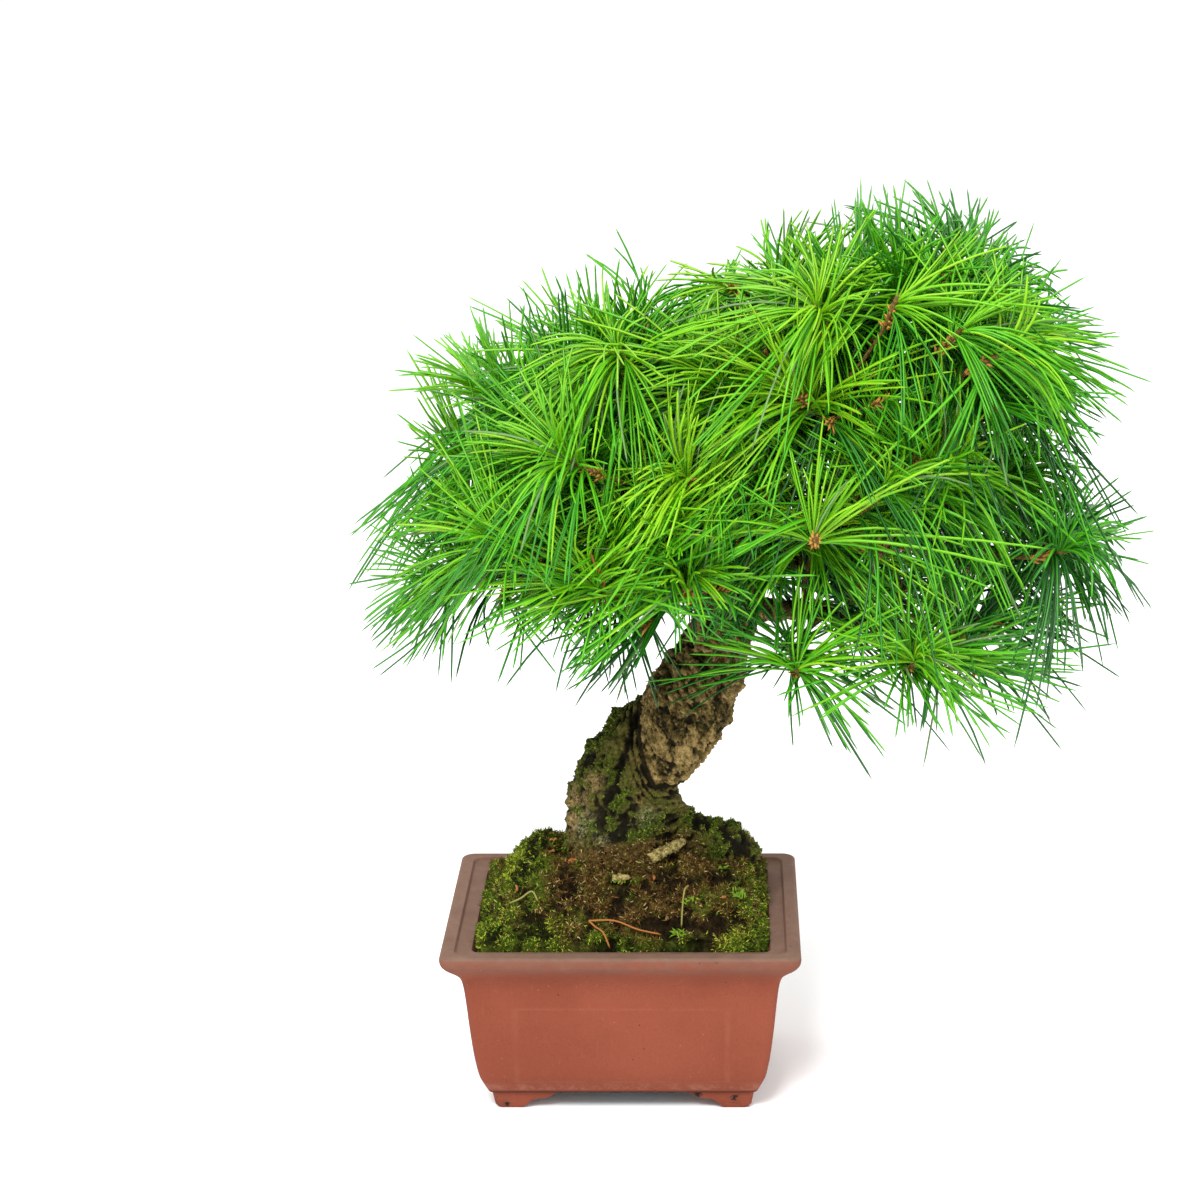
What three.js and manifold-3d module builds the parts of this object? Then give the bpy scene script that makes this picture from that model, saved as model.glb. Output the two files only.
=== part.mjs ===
// A Japanese white pine bonsai in a rectangular unglazed pot on four bracket feet.
// Millimetres, +Z up. The origin is under the middle of the whole plant, on the ground.
// The plant is laid out about the middle of the pot, with heights measured from the pot's rim,
// and the finished group is moved so that its box stands centred on the origin.
import * as THREE from "three";
import { mergeVertices } from "three/addons/utils/BufferGeometryUtils.js";
import Module from "manifold-3d";

const wasm = await Module();
wasm.setup();

// Driving dimensions of the pot.
const POT_WIDTH = 161;
const POT_DEPTH = 122;
const POT_HEIGHT = 84.8;
const RIM_BEAD = 7.5;
const RIM_WIDTH = 15.3;
const RIM_STEP = 1.8;
const RIM_CORNER = 5;
const FLOOR_UNDERSIDE = 9.6;
const FLOOR_TOP = 15.5;
const FOOT_THICKNESS = 8;
const DRAIN_RADIUS = 7;
const DRAIN_OFFSET = 30;

// Clearance between two pieces that rest on each other, and between a bough and the trunk's
// rough skin.
const SEAT_GAP = 0.3;
const BOUGH_SEAT_GAP = 0.36;

// Driving dimensions of the trunk. Heights are above the rim of the pot.
const GROUND = 18;
const MOSS_EDGE = -2.5;
const ROOTSTOCK_AXIS = [[0, 0, 8], [-1, 0, 36], [-1, 0, 55], [9, 2, 76], [20, 4, 89], [29, 4, 96]];
const ROOTSTOCK_RADIUS = [26.5, 25.5, 24, 20.5, 17, 13];
const SCION_AXIS = [
  [20, -9, 60], [23, -8, 80], [31, -3, 101], [38, 0, 116], [46, 3, 134], [56, 6, 168],
  [61, 8, 200], [84, 8, 224], [115, 2, 243], [121, -3, 265], [119, -7, 279],
];
const SCION_RADIUS = 28;
const SCION_TIP_RADIUS = 2;
const KNOB_SHARE = 0.2;
const KNOB_SWELL = 0.69;

// Each root: direction in degrees, reach, radius, the height at which it leaves the trunk's
// middle, and the height of its far end.
const ROOTS = [
  [2, 53, 12.5, 40, 27],
  [186, 18, 13, 42, 16],
  [-58, 32, 8, 36, 19],
  [-122, 22, 9, 38, 15],
  [70, 27, 10, 38, 16],
  [128, 22, 9, 38, 15],
];

// Each bough: the height at which it leaves the trunk, its tip, its radius there, and its arch.
const BOUGHS = {
  front: { from: 146, tip: [24, -56, 166], radius: 6, arch: 5 },
  left_low: { from: 154, tip: [-36, -10, 160], radius: 6.2, arch: 6 },
  left_mid: { from: 172, tip: [-4, -22, 204], radius: 5.4, arch: 4 },
  left_top: { from: 192, tip: [20, 2, 240], radius: 5, arch: -5 },
  front_mid: { from: 178, tip: [74, -54, 194], radius: 5, arch: 6 },
  right_mid: { from: 166, tip: [120, -26, 192], radius: 5.6, arch: 5 },
  right_low: { from: 140, tip: [116, -20, 142], radius: 6.2, arch: 8 },
  right_back: { from: 156, tip: [138, 40, 162], radius: 5.8, arch: 7 },
  back_low: { from: 148, tip: [44, 62, 160], radius: 5.8, arch: 5 },
  back_mid: { from: 184, tip: [66, 56, 216], radius: 5, arch: 4 },
  top_front: { from: 213, tip: [80, -34, 240], radius: 4.2, arch: 3 },
  top_left: { from: 219, tip: [66, 20, 264], radius: 4, arch: -3 },
  top_right: { from: 240, tip: [144, -24, 252], radius: 3.4, arch: 2 },
  top_back: { from: 232, tip: [118, 42, 256], radius: 3.6, arch: 3 },
};

// Each mass of foliage: the limb it grows on and how far along it, the place of its leading tuft,
// the way that tuft points (degrees round from +X, degrees up), and its number of side tufts.
const MASSES = [
  ["front_centre", "front", 1.0, [31, -89, 178], [-85, 12], 2],
  ["front_left", "front", 0.84, [-5, -80, 175], [-125, 20], 2],
  ["left_front", "left_low", 0.72, [-43, -36, 180], [-150, 35], 2],
  ["left_tip", "left_low", 1.0, [-77, -18, 164], [188, 16], 2],
  ["left_under", "left_low", 0.88, [-62, 8, 156], [165, -4], 1],
  ["left_back", "left_low", 0.6, [-44, 46, 172], [130, 22], 2],
  ["middle_left", "left_mid", 1.0, [-16, -46, 220], [-140, 38], 2],
  ["middle_front", "left_mid", 0.7, [32, -78, 222], [-105, 42], 1],
  ["middle_far_left", "left_mid", 0.86, [-66, 4, 208], [178, 22], 2],
  ["upper_left", "left_top", 0.9, [-54, 2, 238], [170, 34], 2],
  ["upper_left_peak", "left_top", 1.0, [4, -10, 260], [-160, 66], 2],
  ["upper_left_back", "left_top", 0.72, [-14, 52, 238], [135, 40], 1],
  ["centre_front", "front_mid", 1.0, [83, -93, 202], [-88, 20], 2],
  ["centre_right", "front_mid", 0.78, [108, -74, 214], [-55, 42], 2],
  ["centre_top", "front_mid", 0.55, [46, -42, 250], [-100, 60], 1],
  ["right_front", "right_mid", 1.0, [132, -56, 220], [-35, 36], 1],
  ["right_middle", "right_mid", 0.78, [164, -10, 204], [0, 24], 2],
  ["low_front", "right_low", 0.62, [76, -46, 134], [-90, -8], 1],
  ["low_right_front", "right_low", 0.86, [124, -56, 138], [-75, -2], 1],
  ["low_right", "right_low", 1.0, [152, -36, 128], [-30, -12], 2],
  ["low_right_tip", "right_low", 0.74, [170, 8, 136], [12, -6], 1],
  ["right_tip", "right_back", 1.0, [194, 6, 168], [4, 12], 2],
  ["right_back", "right_back", 0.84, [150, 82, 166], [60, 10], 2],
  ["right_back_top", "right_back", 0.66, [148, 46, 204], [40, 48], 1],
  ["back_centre", "back_low", 1.0, [52, 100, 166], [88, 12], 2],
  ["back_left", "back_low", 0.84, [2, 84, 172], [122, 16], 2],
  ["back_under", "back_low", 0.6, [92, 62, 142], [60, -6], 1],
  ["back_middle", "back_mid", 1.0, [70, 94, 220], [85, 34], 1],
  ["back_middle_left", "back_mid", 0.8, [26, 66, 236], [120, 52], 1],
  ["back_middle_right", "back_mid", 0.62, [108, 82, 214], [66, 34], 1],
  ["top_front_left", "top_front", 1.0, [79, -64, 254], [-120, 34], 2],
  ["top_front_peak", "top_front", 0.7, [90, -16, 280], [-110, 64], 1],
  ["top_left_peak", "top_left", 1.0, [72, 18, 284], [140, 62], 1],
  ["top_left_back", "top_left", 0.75, [52, 58, 262], [115, 46], 1],
  ["top_right_tip", "top_right", 1.0, [157, -38, 265], [-22, 20], 2],
  ["top_right_back", "top_back", 1.0, [150, 34, 278], [32, 44], 2],
  ["top_back", "top_back", 0.75, [106, 74, 258], [88, 42], 1],
  ["top_leader", "trunk", 1.0, [120, -18, 287], [-80, 64], 2],
];

// The crown's outline: rounded lobes, each a middle and three half sizes.
const CROWN_LOBES = [
  [[-5, 4, 206], [97, 136, 106]],
  [[-70, 2, 164], [54, 84, 54]],
  [[-80, 2, 142], [44, 62, 40]],
  [[130, 4, 261], [106, 122, 74]],
  [[150, 6, 163], [86, 128, 80]],
  [[104, -26, 132], [60, 74, 52]],
];

// A tuft's twig, its bud and its needles. A solid needle is broader than a live one and stands
// for several, so that the crown is as full as the real one.
const TWIG_RADIUS = 1.5;
const BUD_RADIUS = 2.4;
const BUD_LENGTH = 9;
const NEEDLES_A_TUFT = 7;
const NEEDLE_LENGTH = 47;
const NEEDLE_RADIUS = 2;
const NEEDLE_WIDEST_AT = 0.48;
const NEEDLE_CLEARANCE = 0.4;
const NEEDLE_DROOP = 0.28;
const SIDE_TUFT_REACH = 27;
const NARROWEST = THREE.MathUtils.degToRad(14);
const WIDEST = THREE.MathUtils.degToRad(100);
const NEEDLE_TRIES = 6;

// Helpers for random numbers, vectors and solids.
function seeded(seed) {
  let state = seed >>> 0;
  return () => {
    state = (state + 0x6d2b79f5) >>> 0;
    let t = Math.imul(state ^ (state >>> 15), 1 | state);
    t = (t + Math.imul(t ^ (t >>> 7), 61 | t)) ^ t;
    return ((t ^ (t >>> 14)) >>> 0) / 4294967296;
  };
}

function abovePotRim(list) {
  return new THREE.Vector3(list[0], list[1], list[2] + POT_HEIGHT);
}

function pointing(azimuth, elevation) {
  const a = THREE.MathUtils.degToRad(azimuth);
  const e = THREE.MathUtils.degToRad(elevation);
  return new THREE.Vector3(Math.cos(a) * Math.cos(e), Math.sin(a) * Math.cos(e), Math.sin(e));
}

function solid(geometry) {
  const bare = geometry.index ? geometry.toNonIndexed() : geometry.clone();
  bare.deleteAttribute("normal");
  bare.deleteAttribute("uv");
  const merged = mergeVertices(bare, 1e-4);
  return new wasm.Manifold(new wasm.Mesh({
    numProp: 3,
    vertProperties: merged.attributes.position.array,
    triVerts: new Uint32Array(merged.index.array),
  }));
}

function geometryOf(manifold) {
  const mesh = manifold.getMesh();
  const geometry = new THREE.BufferGeometry();
  geometry.setAttribute("position", new THREE.BufferAttribute(mesh.vertProperties, 3));
  geometry.setIndex(new THREE.BufferAttribute(mesh.triVerts, 1));
  const flat = geometry.toNonIndexed();
  flat.computeVertexNormals();
  return flat;
}

// A closed skin over a stack of rings of equal count, each ring listed counterclockwise
// about the direction in which the stack runs, with a fan over each end.
function loft(rings) {
  const count = rings[0].length;
  const points = rings.flat();
  const faces = [];
  for (let j = 0; j + 1 < rings.length; j++) {
    for (let i = 0; i < count; i++) {
      const a = j * count + i;
      const b = j * count + ((i + 1) % count);
      faces.push(a, b, b + count, a, b + count, a + count);
    }
  }
  const last = (rings.length - 1) * count;
  for (let i = 1; i + 1 < count; i++) {
    faces.push(0, i + 1, i);
    faces.push(last, last + i, last + i + 1);
  }
  const geometry = new THREE.BufferGeometry().setFromPoints(points);
  geometry.setIndex(faces);
  return geometry;
}

// Rings round a path, each square to it, carried along it without twist.
function ringsAlong(path, radii, sides) {
  const rings = [];
  let side = new THREE.Vector3(0, 1, 0);
  path.forEach((centre, j) => {
    const before = path[Math.max(j - 1, 0)];
    const after = path[Math.min(j + 1, path.length - 1)];
    const along = after.clone().sub(before).normalize();
    if (j === 0 && Math.abs(along.y) > 0.8) side = new THREE.Vector3(1, 0, 0);
    side.addScaledVector(along, -side.dot(along)).normalize();
    const across = along.clone().cross(side);
    const ring = [];
    for (let i = 0; i < sides; i++) {
      const turn = (i / sides) * 2 * Math.PI;
      ring.push(centre.clone()
        .addScaledVector(side, Math.cos(turn) * radii[j])
        .addScaledVector(across, Math.sin(turn) * radii[j]));
    }
    rings.push(ring);
  });
  return rings;
}

function tube(path, radii, sides) {
  return solid(loft(ringsAlong(path, radii, sides)));
}

// A three-sided blade that starts at a point, is widest at its middle and ends at a point.
function blade(root, middle, tip, radius) {
  const ring = ringsAlong([root, middle, tip], [radius, radius, radius], 3)[1];
  const geometry = new THREE.BufferGeometry().setFromPoints([root, ...ring, tip]);
  geometry.setIndex([0, 2, 1, 0, 3, 2, 0, 1, 3, 4, 1, 2, 4, 2, 3, 4, 3, 1]);
  return solid(geometry);
}

function joined(solids) {
  return solids.reduce((sum, next) => sum.add(next));
}

function largestBody(manifold) {
  const bodies = manifold.decompose();
  return bodies.reduce((best, body) => (body.volume() > best.volume() ? body : best));
}

function block(sizeX, sizeY, bottom, top) {
  const geometry = new THREE.BoxGeometry(sizeX, sizeY, top - bottom);
  geometry.translate(0, 0, (bottom + top) / 2);
  return solid(geometry);
}

// The pot. Its section is the list of insets from the rim's outer edge and heights.
const CORNER_STEPS = 3;

function roundedRing(inset, height, sidePoints = 0) {
  const halfX = POT_WIDTH / 2 - inset;
  const halfY = POT_DEPTH / 2 - inset;
  const radius = Math.max(RIM_CORNER - inset * 0.12, 2.5);
  const ring = [];
  for (const [signX, signY, start] of [[1, 1, 0], [-1, 1, 90], [-1, -1, 180], [1, -1, 270]]) {
    for (let i = 0; i <= CORNER_STEPS; i++) {
      const turn = THREE.MathUtils.degToRad(start + (90 * i) / CORNER_STEPS);
      ring.push(new THREE.Vector3(
        signX * (halfX - radius) + Math.cos(turn) * radius,
        signY * (halfY - radius) + Math.sin(turn) * radius,
        height,
      ));
    }
  }
  const cornerEnd = CORNER_STEPS + 1;
  return ring.flatMap((point, i) => {
    if ((i + 1) % cornerEnd !== 0) return [point];
    const next = ring[(i + 1) % ring.length];
    const between = [];
    for (let k = 1; k <= sidePoints; k++) {
      between.push(point.clone().lerp(next, k / (sidePoints + 1)));
    }
    return [point, ...between];
  });
}

const OUTER_SECTION = [
  [19, FLOOR_UNDERSIDE], [16.8, 14.6], [15.2, 18.6], [13.5, 28], [12, 41], [10.2, 62],
  [9.2, 68.5], [7.9, 71.6], [5.4, 74.4], [2.3, 77.2], [0.5, 79.8], [0, 82.4], [0.3, 84], [1.6, POT_HEIGHT],
];
const INNER_SECTION = [
  [RIM_BEAD - 1.2, POT_HEIGHT], [RIM_BEAD, POT_HEIGHT - RIM_STEP], [RIM_WIDTH, POT_HEIGHT - RIM_STEP - 1],
  [RIM_WIDTH + 0.8, 60], [19, 30], [22, FLOOR_TOP],
];

function footCutter(halfGap, step, top, length) {
  const arch = new THREE.Shape();
  arch.moveTo(-halfGap - 17.6, -1);
  arch.lineTo(-halfGap - 16, 1.6);
  arch.lineTo(-halfGap - 13.7, 3.9);
  arch.lineTo(-halfGap - 10.8, step);
  arch.lineTo(-halfGap - 5.7, step + 0.6);
  arch.lineTo(-halfGap - 2.2, step + 2.9);
  arch.lineTo(-halfGap, top);
  arch.lineTo(halfGap, top);
  arch.lineTo(halfGap + 2.2, step + 2.9);
  arch.lineTo(halfGap + 5.7, step + 0.6);
  arch.lineTo(halfGap + 10.8, step);
  arch.lineTo(halfGap + 13.7, 3.9);
  arch.lineTo(halfGap + 16, 1.6);
  arch.lineTo(halfGap + 17.6, -1);
  const geometry = new THREE.ExtrudeGeometry(arch, { depth: length, bevelEnabled: false });
  geometry.translate(0, 0, -length / 2);
  geometry.rotateX(Math.PI / 2);
  return geometry;
}

const FOOT_SECTION = [[22.9, 0], [21.7, 1.8], [20.2, FLOOR_UNDERSIDE + 0.6]];
const FRONT_ARCH_HALF = 28.9;
const SIDE_ARCH_HALF = 9.5;
const BRACKET_HEIGHT = 5.3;

function makePot() {
  const section = [...OUTER_SECTION, ...INNER_SECTION];
  const shell = solid(loft(section.map(([inset, height]) => roundedRing(inset, height))));
  const feet = solid(loft(FOOT_SECTION.map(([inset, height]) => roundedRing(inset, height))));
  const footInside = FOOT_SECTION[0][0] + FOOT_THICKNESS;
  const hollow = block(POT_WIDTH - 2 * footInside, POT_DEPTH - 2 * footInside, -1, FLOOR_UNDERSIDE);
  const frontArch = solid(footCutter(FRONT_ARCH_HALF, BRACKET_HEIGHT, FLOOR_UNDERSIDE, POT_DEPTH));
  const sideArch = solid(footCutter(SIDE_ARCH_HALF, BRACKET_HEIGHT, FLOOR_UNDERSIDE, POT_WIDTH).rotateZ(Math.PI / 2));
  let pot = shell.add(feet.subtract(hollow).subtract(frontArch).subtract(sideArch));
  for (const side of [-1, 1]) {
    const drain = new THREE.CylinderGeometry(DRAIN_RADIUS, DRAIN_RADIUS, 2 * FLOOR_TOP, 16);
    drain.rotateX(Math.PI / 2).translate(side * DRAIN_OFFSET, 0, FLOOR_TOP);
    pot = pot.subtract(solid(drain));
  }
  return pot;
}

// The soil fills the pot and rises in a mossy mound round the roots. The trunk stands in it on
// a flat seat.
const MOUND_TOP = 25;
const TOP_CENTRE = [14, 2];
const TOP_RADII = [42, 20];
const MOUND_STEPS = 6;
const MOUND_SIDE_POINTS = 3;
const MOUND_ROUGHNESS = 2.6;

// Each lump of the mound: its place, its height and its reach.
const MOUND_LUMPS = [
  [-36, 4, 12, 11],
  [-52, -12, 7, 14],
  [-58, 16, 6, 12],
  [60, 8, 6, 11],
  [-34, -32, 4, 14],
  [8, -34, -4, 13],
  [40, -34, 4, 14],
  [-6, 34, 6, 15],
  [44, 30, 5, 14],
];

function moundHeight(point, share) {
  const rise = 1 - Math.pow(1 - share, 2.1);
  let height = MOSS_EDGE + (MOUND_TOP - MOSS_EDGE) * rise;
  const fade = Math.min(8 * share * (1 - share), 1);
  for (const [x, y, lump, reach] of MOUND_LUMPS) {
    const away = Math.hypot(point.x - x, point.y - y) / reach;
    height += fade * lump * Math.exp(-away * away);
  }
  return POT_HEIGHT + height;
}

function makeSoil() {
  const random = seeded(71);
  const rings = [];
  for (const [inset, height] of INNER_SECTION.slice(2).reverse()) {
    const raised = height === FLOOR_TOP ? SEAT_GAP : 0;
    rings.push(roundedRing(inset + SEAT_GAP, height + raised, MOUND_SIDE_POINTS));
  }
  const edge = rings[rings.length - 1];
  for (let step = 0; step <= MOUND_STEPS; step++) {
    const share = step / MOUND_STEPS;
    rings.push(edge.map((corner) => {
      const turn = Math.atan2(corner.y / TOP_RADII[1], (corner.x - TOP_CENTRE[0]) / TOP_RADII[0]);
      const seat = new THREE.Vector3(
        TOP_CENTRE[0] + Math.cos(turn) * TOP_RADII[0], TOP_CENTRE[1] + Math.sin(turn) * TOP_RADII[1], 0,
      );
      const point = corner.clone().lerp(seat, 0.04 + 0.96 * share);
      point.z = moundHeight(point, share) + share * MOUND_ROUGHNESS * (random() - 0.5);
      return point;
    }));
  }
  return largestBody(solid(loft(rings)).subtract(makeTrunk(2 * SEAT_GAP, GROUND - SEAT_GAP)));
}

// The trunk: an old mossy rootstock, the grafted pine that bulges over it, and the root flare.
const TRUNK_SIDES = 10;
const ROOT_SIDES = 7;
const ROOTSTOCK_STEPS = 8;
const SCION_STEPS = 18;

const scionCurve = new THREE.CatmullRomCurve3(SCION_AXIS.map(abovePotRim), false, "centripetal");
const rootstockCurve = new THREE.CatmullRomCurve3(ROOTSTOCK_AXIS.map(abovePotRim), false, "centripetal");

function scionRadius(share) {
  const taper = SCION_TIP_RADIUS + (SCION_RADIUS - SCION_TIP_RADIUS) * Math.pow(1 - share, 1.45);
  return taper * Math.pow(Math.min(1, (share + 0.004) / KNOB_SHARE), KNOB_SWELL);
}

function rootstockRadius(share) {
  const place = share * (ROOTSTOCK_RADIUS.length - 1);
  const low = Math.min(Math.floor(place), ROOTSTOCK_RADIUS.length - 2);
  return THREE.MathUtils.lerp(ROOTSTOCK_RADIUS[low], ROOTSTOCK_RADIUS[low + 1], place - low);
}

function stationed(curve, steps, radiusAt) {
  const path = [];
  const radii = [];
  for (let i = 0; i <= steps; i++) {
    path.push(curve.getPoint(i / steps));
    radii.push(radiusAt(i / steps));
  }
  return { path, radii };
}

const scion = stationed(scionCurve, SCION_STEPS, scionRadius);
const rootstock = stationed(rootstockCurve, ROOTSTOCK_STEPS, rootstockRadius);

// The rings are pushed in and out a little, as bark and old wounds do.
function barkTube(path, radii, sides, seed, roughness) {
  const random = seeded(seed);
  const rings = ringsAlong(path, radii, sides);
  rings.forEach((ring, j) => ring.forEach((point) => {
    const push = 1 + (random() - 0.5) * roughness;
    point.lerpVectors(path[j], point, push);
  }));
  return solid(loft(rings));
}

// The trunk's skin, or the same shape pushed out by a clearance, above a flat cut.
function makeTrunk(clearance, cutHeight) {
  const grown = (radii) => radii.map((radius) => radius + clearance);
  const pieces = [
    barkTube(rootstock.path, grown(rootstock.radii), TRUNK_SIDES, 11, 0.1),
    barkTube(scion.path, grown(scion.radii), TRUNK_SIDES, 12, 0.07),
  ];
  ROOTS.forEach(([azimuth, reach, radius, leaves, end], i) => {
    const start = abovePotRim([0, 0, leaves]);
    const foot = abovePotRim([0, 0, end]).addScaledVector(pointing(azimuth, 0), reach);
    const knee = start.clone().lerp(foot, 0.55);
    knee.z += radius * 0.35;
    const curve = new THREE.QuadraticBezierCurve3(start, knee, foot);
    const { path, radii } = stationed(curve, 4, (share) => radius * (1.15 - 0.35 * share));
    pieces.push(barkTube(path, grown(radii), ROOT_SIDES, 20 + i, 0.12));
  });
  const below = block(POT_WIDTH, POT_DEPTH, 0, POT_HEIGHT + cutHeight);
  return largestBody(joined(pieces).subtract(below));
}

// Boughs leave the trunk's axis and are cut clear of its skin.
const BOUGH_SIDES = 6;
const BOUGH_STEPS = 4;
const BOUGH_TIP_SHARE = 0.42;

function trunkAxisAt(height) {
  let low = 0;
  let high = 1;
  for (let halving = 0; halving < 30; halving++) {
    const middle = (low + high) / 2;
    if (scionCurve.getPoint(middle).z < height + POT_HEIGHT) low = middle;
    else high = middle;
  }
  return scionCurve.getPoint(low);
}

function boughCurve(bough) {
  const start = trunkAxisAt(bough.from);
  const tip = abovePotRim(bough.tip);
  const middle = start.clone().lerp(tip, 0.5);
  middle.z += bough.arch;
  return new THREE.QuadraticBezierCurve3(start, middle, tip);
}

const limbs = { trunk: { curve: scionCurve, path: scion.path, radii: scion.radii, sides: TRUNK_SIDES } };
for (const [name, bough] of Object.entries(BOUGHS)) {
  const curve = boughCurve(bough);
  const taper = (share) => bough.radius * (1 - (1 - BOUGH_TIP_SHARE) * share);
  limbs[name] = { curve, ...stationed(curve, BOUGH_STEPS, taper), sides: BOUGH_SIDES };
}

// The limb's own skin pushed out by the seat gap and a little past its tip.
function clearanceAround(limb) {
  const path = limb.path.map((point) => point.clone());
  const end = path.length - 1;
  const onward = path[end].clone().sub(path[end - 1]).setLength(SEAT_GAP);
  path[end].add(onward);
  const radii = limb.radii.map((radius) => radius * 1.06 + SEAT_GAP);
  return tube(path, radii, limb.sides);
}

const clearances = {};
for (const name of Object.keys(limbs)) {
  clearances[name] = clearanceAround(limbs[name]);
}

const trunkSeat = makeTrunk(BOUGH_SEAT_GAP, GROUND);

function makeBough(name, index) {
  const limb = limbs[name];
  const raw = barkTube(limb.path, limb.radii, limb.sides, 40 + index, 0.1);
  return largestBody(raw.subtract(trunkSeat));
}

// Foliage. Everything that is placed is kept as tapered stretches, so that a twig or needle
// that would touch another mass or a limb can be left out.
const stretches = [];

function keepStretches(path, radii, owner) {
  for (let i = 0; i + 1 < path.length; i++) {
    stretches.push({ a: path[i], b: path[i + 1], radius: Math.max(radii[i], radii[i + 1]), owner });
  }
}

const lineOne = new THREE.Vector3();
const lineTwo = new THREE.Vector3();
const between = new THREE.Vector3();

function distanceBetween(a, b, c, d) {
  lineOne.subVectors(b, a);
  lineTwo.subVectors(d, c);
  between.subVectors(a, c);
  const oneOne = lineOne.dot(lineOne);
  const twoTwo = lineTwo.dot(lineTwo);
  const oneTwo = lineOne.dot(lineTwo);
  const oneGap = lineOne.dot(between);
  const twoGap = lineTwo.dot(between);
  const spread = oneOne * twoTwo - oneTwo * oneTwo;
  let s = spread > 1e-9 ? THREE.MathUtils.clamp((oneTwo * twoGap - oneGap * twoTwo) / spread, 0, 1) : 0;
  let t = (oneTwo * s + twoGap) / twoTwo;
  t = THREE.MathUtils.clamp(t, 0, 1);
  s = THREE.MathUtils.clamp((oneTwo * t - oneGap) / oneOne, 0, 1);
  return between.addScaledVector(lineOne, s).addScaledVector(lineTwo, -t).length();
}

function isClear(path, radii, owner, clearance) {
  for (let i = 0; i + 1 < path.length; i++) {
    const radius = Math.max(radii[i], radii[i + 1]);
    for (const other of stretches) {
      if (other.owner === owner) continue;
      const room = radius + other.radius + clearance;
      if (distanceBetween(path[i], path[i + 1], other.a, other.b) < room) return false;
    }
  }
  return true;
}

for (const [name, limb] of Object.entries(limbs)) {
  keepStretches(limb.path, limb.radii.map((radius) => radius * 1.06), "limb " + name);
}
keepStretches(rootstock.path, rootstock.radii, "limb trunk");

// A twig runs from its start to the bud, which swells and then closes to a point.
const TWIG_STEPS = 2;
const BUD_TIP_RADIUS = 0.7;

function twigPath(start, bud, axis) {
  const span = start.distanceTo(bud);
  const control = bud.clone().addScaledVector(axis, -0.5 * span);
  const curve = new THREE.QuadraticBezierCurve3(start, control, bud);
  const path = [];
  const radii = [];
  for (let i = 0; i < TWIG_STEPS; i++) {
    path.push(curve.getPoint(i / TWIG_STEPS));
    radii.push(TWIG_RADIUS);
  }
  path.push(bud.clone(), bud.clone().addScaledVector(axis, BUD_LENGTH));
  radii.push(BUD_RADIUS, BUD_TIP_RADIUS);
  return { path, radii, curve };
}

function crossAxes(axis) {
  const helper = Math.abs(axis.z) > 0.9 ? new THREE.Vector3(1, 0, 0) : new THREE.Vector3(0, 0, 1);
  const first = helper.cross(axis).normalize();
  return [first, axis.clone().cross(first)];
}

// The tufts of a mass: the leading one at its given place, and side tufts that leave its stem.
function growTwigs(row, index) {
  const [name, limbName, along, place, [azimuth, elevation], sideTufts] = row;
  const random = seeded(1000 + index * 17);
  const owner = "mass " + name;
  const axis = pointing(azimuth, elevation);
  const seat = limbs[limbName].curve.getPoint(along);
  const lead = twigPath(seat, abovePotRim(place), axis);
  const tufts = [{ bud: abovePotRim(place), axis, owner, path: lead.path, radii: lead.radii }];
  const [across, over] = crossAxes(axis);
  const firstTurn = random() * 2 * Math.PI;
  for (let k = 0; k < sideTufts; k++) {
    const turn = firstTurn + (k / sideTufts) * 2 * Math.PI + (random() - 0.5) * 0.6;
    const lean = THREE.MathUtils.degToRad(52 + random() * 20);
    const sideways = across.clone().multiplyScalar(Math.cos(turn)).addScaledVector(over, Math.sin(turn));
    const sideAxis = axis.clone().multiplyScalar(Math.cos(lean)).addScaledVector(sideways, Math.sin(lean));
    const start = lead.curve.getPoint(0.5 + random() * 0.2);
    const reach = SIDE_TUFT_REACH * (0.85 + random() * 0.3);
    const bud = start.clone().addScaledVector(sideAxis, reach);
    const twig = twigPath(start, bud, sideAxis);
    tufts.push({ bud, axis: sideAxis, owner, path: twig.path, radii: twig.radii });
  }
  return { name, limbName, owner, tufts };
}

const masses = MASSES.map(growTwigs);
for (const mass of masses) {
  const lead = mass.tufts[0];
  const [seat, next] = lead.path;
  const insideLimb = (limbs[mass.limbName].radii[0] + TWIG_RADIUS) / seat.distanceTo(next);
  const leaving = seat.clone().lerp(next, Math.min(insideLimb, 0.9));
  keepStretches([leaving, ...lead.path.slice(1)], lead.radii, mass.owner);
}
for (const mass of masses) {
  mass.tufts = mass.tufts.filter((tuft, i) => {
    if (i === 0) return true;
    if (!isClear(tuft.path, tuft.radii, mass.owner, NEEDLE_CLEARANCE)) return false;
    keepStretches(tuft.path, tuft.radii, mass.owner);
    return true;
  });
}

// A needle leaves the bud, runs straight for half its length and then droops to its tip.
function needlePath(tuft, share, turn, length) {
  const polar = Math.acos(THREE.MathUtils.lerp(Math.cos(NARROWEST), Math.cos(WIDEST), share));
  const [across, over] = crossAxes(tuft.axis);
  const sideways = across.multiplyScalar(Math.cos(turn)).addScaledVector(over, Math.sin(turn));
  const way = tuft.axis.clone().multiplyScalar(Math.cos(polar)).addScaledVector(sideways, Math.sin(polar));
  const root = tuft.bud.clone().addScaledVector(tuft.axis, BUD_LENGTH * (0.55 - 0.5 * share));
  const middle = root.clone().addScaledVector(way, length * NEEDLE_WIDEST_AT);
  const onward = way.clone().addScaledVector(tuft.axis, 0.22);
  onward.z -= NEEDLE_DROOP * (1 - Math.abs(way.z));
  const tip = middle.clone().addScaledVector(onward.normalize(), length * (1 - NEEDLE_WIDEST_AT));
  return [root, middle, tip];
}

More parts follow.
